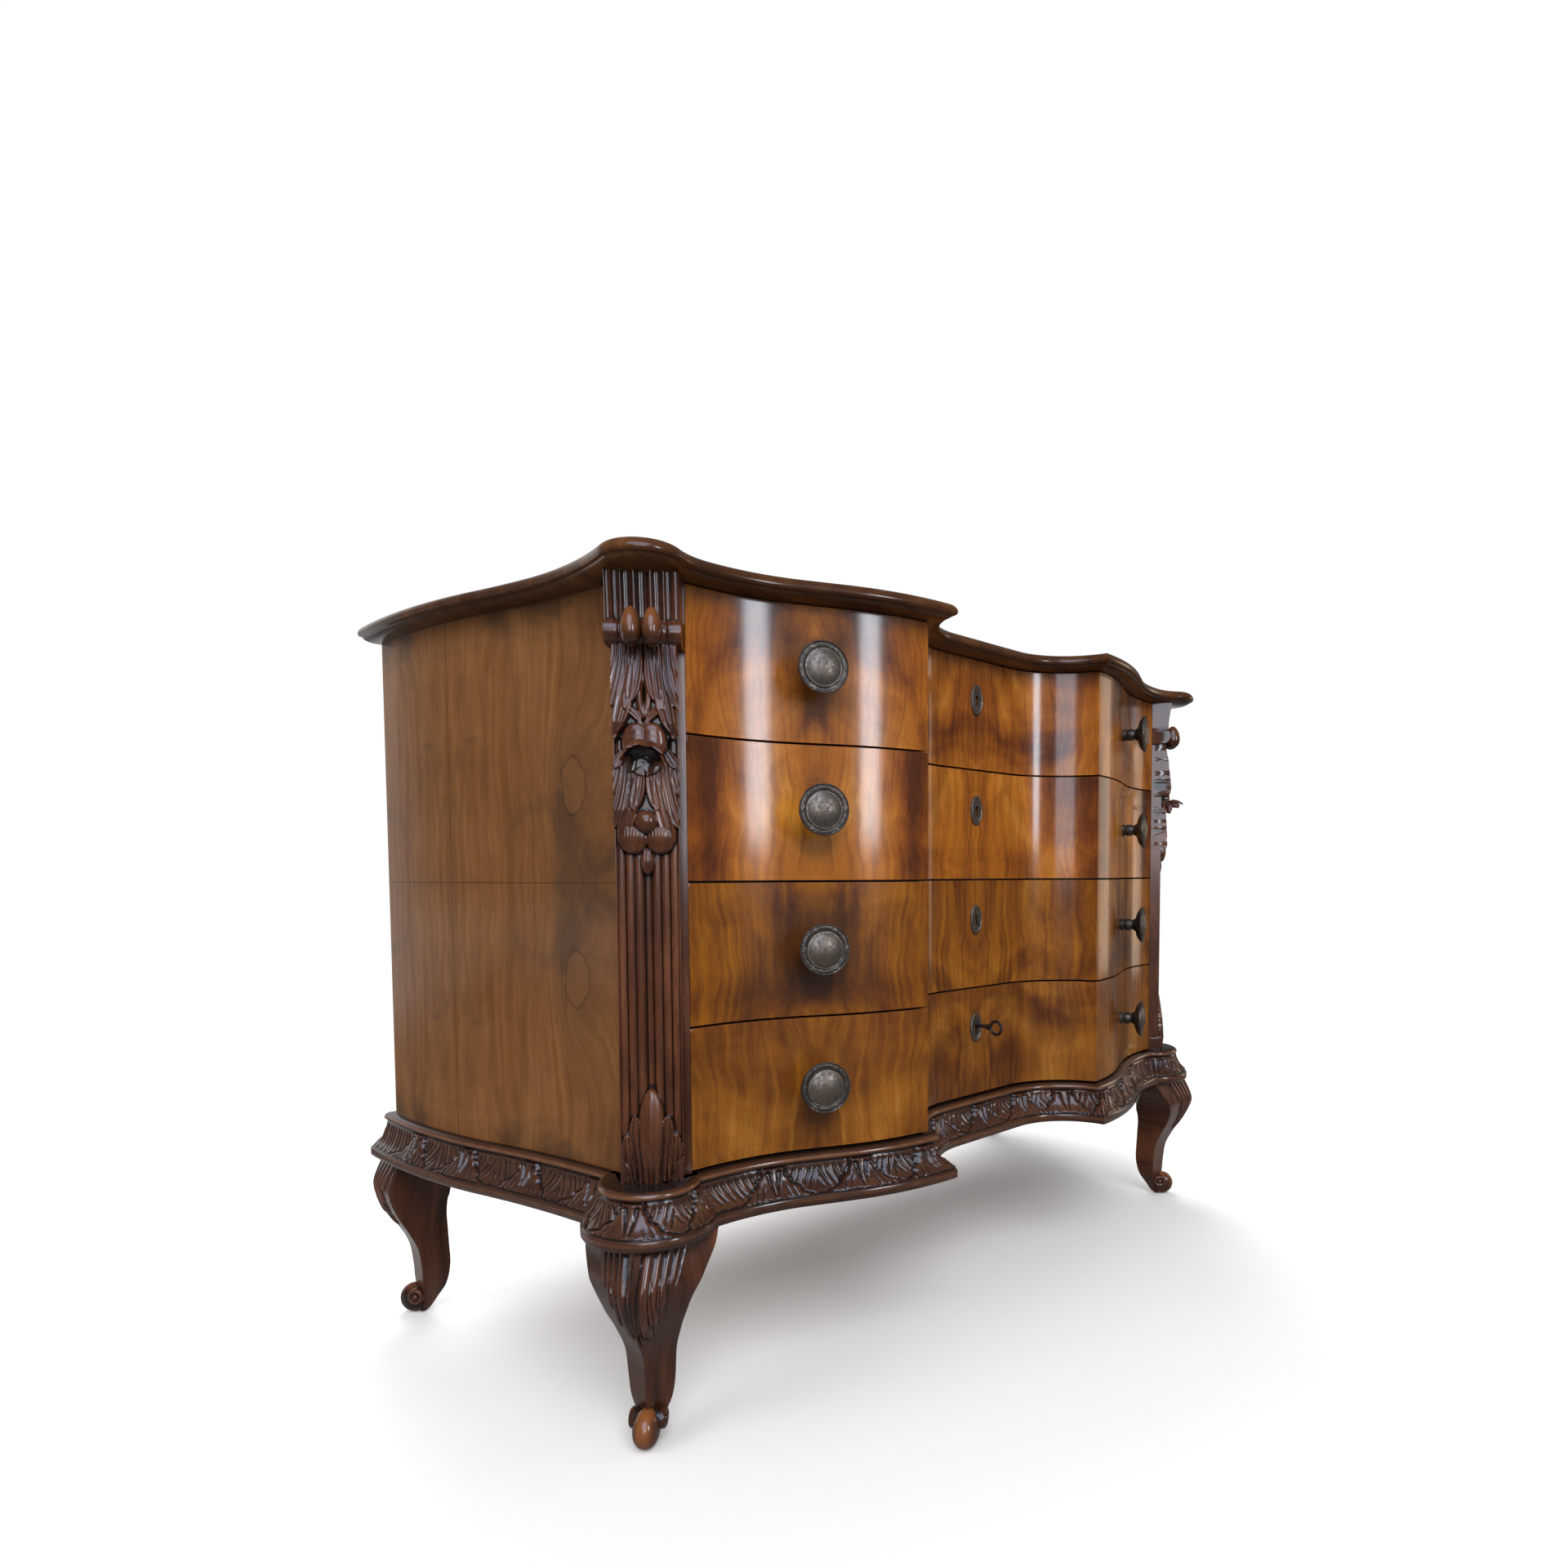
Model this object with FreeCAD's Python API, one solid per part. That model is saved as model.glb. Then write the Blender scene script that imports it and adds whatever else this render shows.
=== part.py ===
import FreeCAD, Part
import math
import os
from FreeCAD import Vector

# Serpentine walnut commode on four cabriole legs, in millimetres.
# Plan axes: x to the right, y to the back, z up from the floor. y = 0 is the line of the drawer ends
# beside the corner posts. Each piece is moved at the end, so that the origin is under the middle of the box.

# Heights
HEIGHT = 889.0
TOP_THICKNESS = 20.0
DRAWERS = 4
PITCH = 150.0
BASE_HEIGHT = 54.0
TOP_UNDER = HEIGHT - TOP_THICKNESS
CASE_FLOOR = TOP_UNDER - DRAWERS * PITCH
LEG_HEIGHT = CASE_FLOOR - BASE_HEIGHT
BASE_TOP = CASE_FLOOR - 2.0

# Plan of the front: flat end, hollow, straight run, swell, sharp arris, then a niche in the middle
FACE_END = 462.0
HOLLOW_END = 448.0
HOLLOW_R = 280.0
SWEEP = 24.0
STRAIGHT = 48.0
SWELL_R = 350.0
ARRIS_SLOPE = 5.5
NICHE_R = 120.0
NICHE_SWEEP = 70.0

# Plan of the side: hollow behind the post, swell towards the back
POST_EDGE = Vector(514, 62)
SIDE_START = 10.5
SIDE_SWEEP = 19.0
SIDE_HOLLOW_R = 1276.0
SIDE_SWELL_R = 842.0
BACK = 478.0

# Round nose at each front corner of the top, and round corner block of the base
NOSE = Vector(509, -1)
NOSE_R = 17.0
FRONT_BLEND = 100.0
SIDE_BLEND = 420.0
BLOCK_R = 41.5
BLOCK_OUT = 12.0

# Profiles of the mouldings: distance out from the case, height above the moulding's underside
TOP_PROFILE = [(9, 0), (15, 1), (20, 3), (22, 5.5), (25.5, 6), (27, 8.5), (26.6, 12), (24, 16), (20, 18.8),
               (14.5, 20)]
BASE_PROFILE = [(26.5, 0), (27.5, 1.5), (27.5, 10), (26, 11.5), (18.5, 18), (12.5, 25.5), (8.5, 34),
                (6.5, 42), (9.2, 44), (10.5, 47), (9.2, 50), (6, 52)]

# Case boards
PANEL = 20.0
PANEL_FRONT = 80.0
BASE_RAIL = 36.0
RAIL_BACK = 55.0
BACK_RAIL = 22.0
BASE_BACK = BACK + 12.0
BACK_PANEL = 8.0
FLOOR_BOARD = 12.0
STILE = 28.0
RAIL_FRONT = 30.0
RAIL_DEPTH = 60.0
RAIL_UNDER = 14.0
RAIL_OVER = 8.0
RUNNER_IN = 425.0
GUIDE_HEIGHT = 20.0

# Drawers
GAP = 2.5
SIDE_PLAY = 0.8
FRONT_BACK = 28.0
BOX_HALF = 444.0
BOX_WALL = 12.0
BOX_BACK = 450.0
BOX_LIFT = 8.5
BOX_TOP = 130.0
BOTTOM_LIFT = 16.0
BOTTOM_BOARD = 8.0
GROOVE = 5.0
TAILS = 3
TAIL_LENGTH = 12.0
TAIL_ROOT = 9.0
TAIL_TIP = 12.0

# Knobs, locks and the key
KNOB_X = 318.0
KNOB_Z = 76.5
KNOB_STUD_R = 4.0
KNOB_STUD = 24.0
KEY_Z = 97.6
KEYHOLE_R = 3.2
KEYHOLE_SLOT = 4.0
KEYHOLE_DROP = 11.0
PLATE_WIDE = 23.0
PLATE_HIGH = 40.0
PLATE = 1.6
LOCK_HALF = 22.0
LOCK_DEPTH = 12.0
LOCK_WALL = 2.0
LOCK_LOW = 74.0
BOLT_HALF = 9.0
BOLT_BODY = 16.0
BOLT_THICK = 4.0
BOLT_TOP = PITCH - RAIL_UNDER - 1.0
BOLT_TRAVEL = 9.0
BOLT_PLAY = 0.75
WINDOW_HALF = 12.5
KEY_R = 2.6
KEY_OUT = 28.0
BOW_R = 9.0
BOW_WIRE = 2.0
BIT = 9.5
BIT_THICK = 2.4

# Corner posts: canted, with a reeded face that stands proud between two margins
POST_ANGLE = 37.0
POST_HALF = 37.3
POST_FACE = 31.0
POST_PROUD = 18.0
REEDS = 3
REED = 8.6
REED_DEPTH = 3.5
GROOVE_HALF = 4.4
GROOVE_DEPTH = 8.0

# Legs, as distances from the leg's corner line against the drop below the base: the two outer faces that meet
# in the front ridge, and the two inner faces that end in the heel and are winged or plain at the top
LEG_FACE = [(54, 0), (60, -14), (66.5, -36), (66, -50), (57.5, -74), (45, -98), (35, -122), (31.5, -148),
            (31.5, -172)]
LEG_HEEL = [(-2, -78), (-2.5, -105), (-3.5, -135), (-3.5, -152), (-2, -166), (1.5, -180), (8, -193),
            (15.5, -208), (22, -215)]
LEG_WING = [(-43, 0), (-34, -16), (-18, -36), (-6, -57)]
LEG_PLAIN = [(-1.5, 0), (-1.5, -40)]
LEG_BACK = -5.0
FOOT_TOP = 43.0
TONGUE_HALF = 12.0
SOLE_T = 51.0
SCROLL_T = 42.0
SCROLL_R = 19.0
EYE_T = 40.0
EYE_R = 8.5
EYE_HALF = 21.5
REAR_LEG = Vector(562, 442)


def polar(radius, angle):
    """Vector of a length and a bearing in degrees, in plan."""
    return Vector(radius * math.cos(math.radians(angle)), radius * math.sin(math.radians(angle)))


def bearing(vector):
    return math.degrees(math.atan2(vector.y, vector.x))


def crossing(centre_a, radius_a, centre_b, radius_b, near):
    """The point where two circles cross that lies nearer to a given point."""
    line = centre_b - centre_a
    along = (radius_a ** 2 - radius_b ** 2 + line.Length ** 2) / (2 * line.Length)
    foot = centre_a + line * (along / line.Length)
    side = Vector(-line.y, line.x) * (math.sqrt(radius_a ** 2 - along ** 2) / line.Length)
    return min((foot + side, foot - side), key=lambda point: (point - near).Length)


def arc(centre, radius, start, end):
    """Three points of a circular arc of less than a half turn."""
    turn = (end - start + 180) % 360 - 180
    return [centre + polar(radius, start + turn * part / 2) for part in range(3)]


# Points worked out from the plan
CORNER = (Vector(FACE_END, 0) + POST_EDGE) * 0.5
BLOCK_C = CORNER + polar(BLOCK_OUT, bearing(POST_EDGE - Vector(FACE_END, 0)) - 90)
POST_OUT = polar(1, POST_ANGLE - 90)
POST_C = Vector(FACE_END, 0) + polar(POST_HALF, POST_ANGLE) + POST_OUT * POST_PROUD
HOLLOW_C = Vector(HOLLOW_END, -HOLLOW_R)
HOLLOW_FIRST = HOLLOW_C + polar(HOLLOW_R, SWEEP + 90)
BLEND_C = crossing(HOLLOW_C, HOLLOW_R - FRONT_BLEND, NOSE, NOSE_R + FRONT_BLEND, Vector(HOLLOW_END, 0))
SWELL_C = HOLLOW_FIRST + polar(STRAIGHT, SWEEP + 180) - polar(SWELL_R, SWEEP - 90)
ARRIS = SWELL_C + polar(SWELL_R, ARRIS_SLOPE - 90)
NICHE_C = ARRIS - polar(NICHE_R, 90 - NICHE_SWEEP)
CENTRE_Y = NICHE_C.y + NICHE_R
SIDE_HOLLOW_C = POST_EDGE + polar(SIDE_HOLLOW_R, -SIDE_START)
SIDE_SWELL_C = SIDE_HOLLOW_C - polar(SIDE_HOLLOW_R + SIDE_SWELL_R, -SIDE_SWEEP)
SIDE_BLEND_C = crossing(SIDE_HOLLOW_C, SIDE_HOLLOW_R - SIDE_BLEND, NOSE, NOSE_R + SIDE_BLEND, POST_EDGE * 2)
LIP = max(out for out, rise in TOP_PROFILE + BASE_PROFILE)
LIP_TIP = crossing(NICHE_C, NICHE_R - LIP, SWELL_C, SWELL_R + LIP, ARRIS)
MIDDLE_Y = (REAR_LEG.y + max(place for place, drop in LEG_FACE) + LIP_TIP.y) / 2


def front_half(out, end=90):
    """Right half of the front outline, moved out, from the centre to the end of the hollow at a bearing."""
    tip = crossing(NICHE_C, NICHE_R - out, SWELL_C, SWELL_R + out, ARRIS)
    start = NICHE_C + Vector(0, NICHE_R - out)
    swell = arc(SWELL_C, SWELL_R + out, bearing(tip - SWELL_C), SWEEP - 90)
    hollow = arc(HOLLOW_C, HOLLOW_R - out, SWEEP + 90, end)
    niche = arc(NICHE_C, NICHE_R - out, 90, bearing(tip - NICHE_C))
    return [[Vector(0, start.y), start], niche, swell, [swell[-1], hollow[0]], hollow]


def side_half(out, first_y=None, last_y=BACK):
    """Right side outline, moved out, from front to back. With no first_y it starts at the nose's blend."""
    hollow = SIDE_HOLLOW_R - out
    swell = SIDE_SWELL_R + out
    start = bearing(SIDE_BLEND_C - SIDE_HOLLOW_C)
    if first_y is not None:
        start = 180 - math.degrees(math.asin((first_y - SIDE_HOLLOW_C.y) / hollow))
    end = math.degrees(math.asin((last_y - SIDE_SWELL_C.y) / swell))
    return [arc(SIDE_HOLLOW_C, hollow, start, 180 - SIDE_SWEEP), arc(SIDE_SWELL_C, swell, -SIDE_SWEEP, end)]


def side_x(out, y):
    """Half width of the case at a place behind the turn of the side's curve."""
    swell = SIDE_SWELL_R + out
    return SIDE_SWELL_C.x + math.sqrt(swell ** 2 - (y - SIDE_SWELL_C.y) ** 2)


def turned_back(pieces):
    return [piece[::-1] for piece in pieces[::-1]]


def mirrored(pieces):
    return [[Vector(-point.x, point.y) for point in piece] for piece in turned_back(pieces)]


def joined(*points):
    """Straight pieces through points, one after another."""
    return [[first, second] for first, second in zip(points, points[1:])]


def both_halves(half):
    """A closed outline from its right half, which starts on the centre plane at the front."""
    last = half[-1][-1]
    return half + [[last, Vector(-last.x, last.y)]] + mirrored(half)


def closed_side(outer, inner):
    """A closed outline between an outer and an inner run of pieces."""
    back = [[outer[-1][-1], inner[-1][-1]]]
    return outer + back + turned_back(inner) + [[inner[0][0], outer[0][0]]]


def wire(pieces, z=0.0):
    edges = []
    for piece in pieces:
        points = [Vector(point.x, point.y, z) for point in piece]
        curve = Part.LineSegment(*points) if len(points) == 2 else Part.Arc(*points)
        edges.append(curve.toShape())
    return Part.Wire(edges)


def prism(pieces, low, high):
    return Part.Face(wire(pieces, low)).extrude(Vector(0, 0, high - low))


def moulding(outline, profile, low):
    """Solid whose outline follows the profile: the outline is a function of the distance out."""
    return Part.makeLoft([wire(outline(out), low + rise) for out, rise in profile], True, True)


def block(x0, x1, y0, y1, z0, z1):
    return Part.makeBox(x1 - x0, y1 - y0, z1 - z0, Vector(x0, y0, z0))


def mirror(shape):
    return shape.mirror(Vector(0, 0, 0), Vector(1, 0, 0))


def rod(radius, length, start, direction):
    return Part.makeCylinder(radius, length, start, direction)


def flat(points, direction):
    """Prism of a closed polygon of points, extruded along a direction."""
    return Part.Face(Part.makePolygon(points + points[:1])).extrude(direction)


def curve(points):
    spline = Part.BSplineCurve()
    spline.interpolate(points)
    return spline.toShape()


def board(front, back, direction):
    """Prism along a direction of a curve through points, closed by straight lines through two more."""
    lines = [Part.makeLine(front[-1], back[0]), Part.makeLine(*back), Part.makeLine(back[1], front[0])]
    return Part.Face(Part.Wire([curve(front)] + lines)).extrude(direction)


def lathe(edges):
    """Full turn about z of a closed outline in the xz plane."""
    return Part.Face(Part.Wire(edges)).revolve(Vector(0, 0, 0), Vector(0, 0, 1), 360)


def save(name, *shapes):
    shape = shapes[0].copy() if len(shapes) == 1 else Part.makeCompound([each.copy() for each in shapes])
    shape.translate(Vector(0, -MIDDLE_Y, 0))
    shape.exportStep("parts/%s.step" % name)


# Top board

def top_outline(out):
    front_end = bearing(BLEND_C - HOLLOW_C)
    nose_front = bearing(BLEND_C - NOSE)
    nose_side = bearing(SIDE_BLEND_C - NOSE)
    corner = [
        arc(BLEND_C, FRONT_BLEND - out, front_end, nose_front + 180),
        arc(NOSE, NOSE_R + out, nose_front, nose_side),
        arc(SIDE_BLEND_C, SIDE_BLEND - out, nose_side + 180, bearing(SIDE_BLEND_C - SIDE_HOLLOW_C)),
    ]
    return both_halves(front_half(out, front_end) + corner + side_half(out))


def top_board():
    return moulding(top_outline, TOP_PROFILE, TOP_UNDER)


# Base frame: round corner blocks with moulded rails between them

def corner_block():
    points = [Vector(BLOCK_R + out, 0, LEG_HEIGHT + rise) for out, rise in BASE_PROFILE]
    points = [Vector(0, 0, LEG_HEIGHT)] + points + [Vector(0, 0, BASE_TOP)]
    shape = lathe([Part.makePolygon(points + points[:1])])
    shape.translate(BLOCK_C)
    return shape


def base_front():
    def outline(out):
        half = front_half(out)
        ends = joined(half[-1][-1], Vector(BLOCK_C.x, -out), Vector(BLOCK_C.x, RAIL_BACK))
        return both_halves(half + ends)
    rail = moulding(outline, BASE_PROFILE, LEG_HEIGHT)
    return rail.cut(corner_block()).cut(mirror(corner_block()))


def base_side():
    def outline(out):
        return closed_side(side_half(out, BLOCK_C.y, BASE_BACK), side_half(-BASE_RAIL, BLOCK_C.y, BASE_BACK))
    return moulding(outline, BASE_PROFILE, LEG_HEIGHT).cut(corner_block())


def base_back():
    end = side_x(-BASE_RAIL, BASE_BACK - BACK_RAIL)
    return block(-end, end, BASE_BACK - BACK_RAIL, BASE_BACK, LEG_HEIGHT, BASE_TOP)


def floor_board():
    half = side_half(-BASE_RAIL, RAIL_BACK, BASE_BACK - BACK_RAIL)
    outline = both_halves(joined(Vector(0, RAIL_BACK), half[0][0]) + half)
    return prism(outline, BASE_TOP - FLOOR_BOARD, BASE_TOP).cut(corner_block()).cut(mirror(corner_block()))


# Legs

def sawn(edge, far):
    """Board along y, 400 long, between a sawn edge of places and drops and a straight line far beyond it."""
    points = [Vector(place, -200, LEG_HEIGHT + drop) for place, drop in edge]
    ends = [Vector(far, -200, points[-1].z), Vector(far, -200, points[0].z)]
    return board(points, ends, Vector(0, 400, 0))


def turned(shape, angle):
    copy = shape.copy()
    copy.rotate(Vector(0, 0, 0), Vector(0, 0, 1), angle)
    return copy


def foot():
    """Scroll toe on its own axes, with the tongue along x: a rolled tongue between two round eyes."""
    instep = LEG_FACE[-1][0] * math.sqrt(2)
    wide = (LEG_FACE[-1][0] - LEG_HEEL[3][0]) / math.sqrt(2)
    side = [(-20, 0), (SOLE_T, 0), (SCROLL_T + SCROLL_R - 1.5, 13), (instep, FOOT_TOP), (-20, FOOT_TOP)]
    side = flat([Vector(place, -50, rise) for place, rise in side], Vector(0, 100, 0))
    scroll = rod(SCROLL_R, 100, Vector(SCROLL_T, -50, SCROLL_R + 1), Vector(0, 1, 0))
    half = [(-20, wide), (instep - wide, wide), (36, TONGUE_HALF + 3), (90, TONGUE_HALF)]
    plan = [Vector(place, width, 0) for place, width in half]
    plan += [Vector(place, -width, 0) for place, width in half[::-1]]
    eyes = rod(EYE_R, 2 * EYE_HALF, Vector(EYE_T, -EYE_HALF, SCROLL_R + 1), Vector(0, 1, 0))
    return side.fuse(scroll).common(flat(plan, Vector(0, 0, FOOT_TOP))).fuse(eyes)


def leg(other):
    """Front right leg about its corner line: outwards is +x and -y alike, so the ridge is on the diagonal.
    The top of its other inner face, towards the side, is given."""
    face = sawn(LEG_FACE, -150)
    shape = face.common(turned(face, -90)).fuse(turned(foot(), -45)).removeSplitter()
    back = turned(block(LEG_BACK, 150, -150, 150, 0, LEG_HEIGHT), -45)
    for sawing in (back, sawn(LEG_WING + LEG_HEEL, 150), turned(sawn(other + LEG_HEEL, 150), -90)):
        shape = shape.common(sawing)
    return shape


def front_leg():
    shape = leg(LEG_WING)
    shape.translate(CORNER)
    return shape


def rear_leg():
    shape = leg(LEG_PLAIN)
    shape.rotate(Vector(0, 0, 0), Vector(0, 0, 1), 90)
    shape.translate(REAR_LEG)
    return shape


# Corner posts: a reeded canted face, with carving laid on it

def post_plan(across, out):
    """Plan point from a place across the reeded face and a distance out of it."""
    return POST_C + polar(across, POST_ANGLE) + POST_OUT * out


def post():
    width = REEDS * REED
    run = joined(Vector(FACE_END, 0), post_plan(-POST_FACE, -POST_PROUD), post_plan(-POST_FACE, 0),
                 post_plan(-GROOVE_HALF - width, 0), post_plan(-GROOVE_HALF - width, -REED_DEPTH))
    centres = [-GROOVE_HALF - width + REED * (count + 0.5) for count in range(REEDS)]
    reeds = [[post_plan(c - REED / 2, -REED_DEPTH), post_plan(c, 0), post_plan(c + REED / 2, -REED_DEPTH)]
             for c in centres + [-c for c in reversed(centres)]]
    groove = [post_plan(-GROOVE_HALF, -REED_DEPTH), post_plan(0, -GROOVE_DEPTH),
              post_plan(GROOVE_HALF, -REED_DEPTH)]
    run += reeds[:REEDS] + [groove] + reeds[REEDS:]
    side = side_half(0, PANEL_FRONT)[0][0]
    run += joined(post_plan(GROOVE_HALF + width, -REED_DEPTH), post_plan(GROOVE_HALF + width, 0),
                  post_plan(POST_FACE, 0), POST_EDGE, side, Vector(FACE_END, PANEL_FRONT),
                  Vector(FACE_END, 0))
    return prism(run, BASE_TOP, TOP_UNDER)


def plaque(half):
    """Block with a lobed outline, from its right half given as places across and up, from top to bottom."""
    points = [Vector(across, 6, up) for across, up in half]
    points += [Vector(-across, 6, up) for across, up in reversed(half) if across > 0]
    return flat(points, Vector(0, -60, 0))


def relief(section):
    """Block across the post whose front follows a curve of distances out and heights, from top to bottom."""
    front = [Vector(-60, -out, up) for out, up in section]
    back = [Vector(-60, 6, section[-1][1]), Vector(-60, 6, section[0][1])]
    return board(front, back, Vector(120, 0, 0))


def egg(radius, high, place):
    """Long egg turned about its upright axis, round at both ends, with its seam towards the post."""
    top = dome_arc(radius, high / 2 - radius, high / 2)
    end = [Vector(point.x, 0, -point.z) for point in top[::-1]]
    shape = lathe([Part.Arc(*top).toShape(), Part.makeLine(top[-1], end[0]), Part.Arc(*end).toShape(),
                   Part.makeLine(end[-1], top[0])])
    shape.rotate(Vector(0, 0, 0), Vector(0, 0, 1), 90)
    shape.translate(place)
    return shape


def bell(radius, depth, place, tilt):
    """Open flower: a turned cup that looks out and down."""
    outer = [(0, 0), (0.35, 0), (0.75, 0.3), (1, 1)]
    inner = [(0.8, 1), (0.5, 0.45), (0, 0.35)]
    points = [Vector(radius * wide, 0, depth * deep) for wide, deep in outer + inner]
    shape = lathe([Part.makePolygon(points + points[:1])])
    shape.rotate(Vector(0, 0, 0), Vector(1, 0, 0), tilt)
    shape.translate(place)
    return shape


def carving():
    """The carving of the right post, on the post's own axes: across x, out -y. Top to bottom."""
    corbel = relief([(14, TOP_UNDER), (12, 852), (10.5, 838), (11, 828), (11, 806)])
    corbel = corbel.common(plaque([(36, TOP_UNDER), (36, 806)]))
    for across in (-29, -18, 0, 18, 29):
        flute = 5.5 if across == 0 else 4
        corbel = corbel.cut(rod(flute, 40, Vector(across, -8 - flute, 834), Vector(0, 0, 1)))
    roll = rod(13.5, 74, Vector(-37, 1, 813), Vector(1, 0, 0))
    eggs = [egg(10.3, 37, Vector(across, -20, 815)) for across in (-10.6, 10.6)]
    upper = plaque([(36, 812), (37, 780), (32, 772), (36, 748), (30, 740), (33, 716), (24, 724), (13, 744),
                    (0, 760)])
    upper = upper.common(relief([(9, 812), (11, 790), (15, 755), (17, 735), (14, 720), (10, 712)]))
    heart = plaque([(10, 790), (14, 730), (26, 712), (30, 690), (18, 684), (0, 676)])
    heart = heart.common(relief([(6, 790), (8, 740), (14, 712), (13, 690), (6, 674)]))
    flower = bell(16, 16, Vector(0, -5, 710), 130)
    lower = plaque([(26, 704), (36, 676), (32, 668), (34, 640), (28, 632), (30, 612), (20, 622), (10, 640),
                    (0, 650)])
    lower = lower.common(relief([(6, 704), (9, 680), (11, 640), (10, 620), (5, 608)]))
    end = plaque([(6, 660), (14, 640), (28, 616), (24, 606), (13, 602), (6, 607), (4, 590), (0, 580)])
    end = end.common(relief([(5, 660), (11, 630), (8, 604), (4, 580)]))
    berry = egg(8, 20, Vector(0, -10, 632))
    drop = corbel.fuse([roll, upper, heart, flower, lower, end, berry] + eggs)
    leaf = plaque([(4, 352), (10, 336), (14, 318), (22, 316), (26, 296), (33, 290), (30, BASE_TOP + 3)])
    leaf = leaf.common(relief([(3, 352), (9, 330), (11, 300), (7, 280), (9, BASE_TOP + 3)]))
    return [drop, leaf]


def post_carving():
    solid = post()
    pieces = []
    for shape in carving():
        shape.rotate(Vector(0, 0, 0), Vector(0, 0, 1), POST_ANGLE)
        shape.translate(POST_C)
        pieces.append(max(shape.cut(solid).Solids, key=lambda piece: piece.Volume))
    return Part.makeCompound(pieces)


# Case

def side_panel():
    outline = closed_side(side_half(0, PANEL_FRONT), side_half(-PANEL, PANEL_FRONT))
    panel = prism(outline, BASE_TOP, TOP_UNDER)
    return panel.cut(back_panel())


def back_panel():
    half = side_x(-PANEL / 2, BACK - BACK_PANEL)
    return block(-half, half, BACK - BACK_PANEL, BACK, BASE_TOP, TOP_UNDER)


def rear_stile():
    edge = side_x(-PANEL, BACK - BACK_PANEL - STILE)
    return block(edge - STILE, edge, BACK - BACK_PANEL - STILE, BACK - BACK_PANEL, BASE_TOP, TOP_UNDER)


def bay(number):
    """Height of the bottom of a drawer's bay; drawer 1 is the top one."""
    return CASE_FLOOR + (DRAWERS - number) * PITCH


def bolt_mortise(under):
    half = BOLT_HALF + BOLT_PLAY
    middle = FRONT_BACK + LOCK_DEPTH / 2
    deep = BOLT_THICK / 2 + BOLT_PLAY
    return block(-half, half, middle - deep, middle + deep, under, under + BOLT_TRAVEL + 1)


def rail(low, high):
    return block(-FACE_END, FACE_END, RAIL_FRONT, RAIL_FRONT + RAIL_DEPTH, low, high)


def divider(number):
    """Rail under a drawer's bay, with a mortise for the bolt of the drawer below it."""
    under = bay(number) - RAIL_UNDER
    return rail(under, bay(number) + RAIL_OVER).cut(bolt_mortise(under))


def top_rail():
    under = TOP_UNDER - RAIL_UNDER
    return rail(under, TOP_UNDER).cut(bolt_mortise(under))


def runner(number):
    low = max(bay(number) - RAIL_UNDER, BASE_TOP)
    high = bay(number) + RAIL_OVER
    return block(RUNNER_IN, FACE_END, RAIL_FRONT + RAIL_DEPTH, BACK - BACK_PANEL, low, high)


def guide(number):
    low = bay(number) + RAIL_OVER
    return block(BOX_HALF + 1, FACE_END, RAIL_FRONT + RAIL_DEPTH, BACK - BACK_PANEL, low, low + GUIDE_HEIGHT)


# Drawers

def tails(number):
    """Dovetails at the front end of a drawer's right side."""
    low = bay(number) + BOX_LIFT
    step = (BOX_TOP - BOX_LIFT) / TAILS
    shapes = []
    for count in range(TAILS):
        middle = low + step * (count + 0.5)
        points = [Vector(BOX_HALF - BOX_WALL, FRONT_BACK - TAIL_LENGTH * end, middle + half)
                  for end, half in ((0, -TAIL_ROOT), (1, -TAIL_TIP), (1, TAIL_TIP), (0, TAIL_ROOT))]
        shapes.append(flat(points, Vector(BOX_WALL, 0, 0)))
    return shapes


def drawer_bottom(number):
    half = BOX_HALF - BOX_WALL + GROOVE
    low = bay(number) + BOTTOM_LIFT
    return block(-half, half, FRONT_BACK - GROOVE, BOX_BACK, low, low + BOTTOM_BOARD)


def drawer_side(number):
    low = bay(number) + BOX_LIFT
    wall = block(BOX_HALF - BOX_WALL, BOX_HALF, FRONT_BACK, BOX_BACK, low, bay(number) + BOX_TOP)
    return wall.fuse(tails(number)).removeSplitter().cut(drawer_bottom(number))


def drawer_back(number):
    half = BOX_HALF - BOX_WALL
    low = bay(number) + BOTTOM_LIFT + BOTTOM_BOARD
    return block(-half, half, BOX_BACK - BOX_WALL, BOX_BACK, low, bay(number) + BOX_TOP)


def keyhole(number, front, back):
    z = bay(number) + KEY_Z
    round_hole = rod(KEYHOLE_R, back - front, Vector(0, front, z), Vector(0, 1, 0))
    slot = block(-KEYHOLE_SLOT / 2, KEYHOLE_SLOT / 2, front, back, z - KEYHOLE_DROP, z)
    return round_hole.fuse(slot)


def dome_arc(radius, low, high):
    """Arc in the xz plane up to the axis, with its centre on the axis."""
    ball_r = (radius ** 2 + (high - low) ** 2) / (2 * (high - low))
    half = math.asin(radius / ball_r) / 2
    return [Vector(radius, 0, low), Vector(ball_r * math.sin(half), 0, high - ball_r * (1 - math.cos(half))),
            Vector(0, 0, high)]


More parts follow.
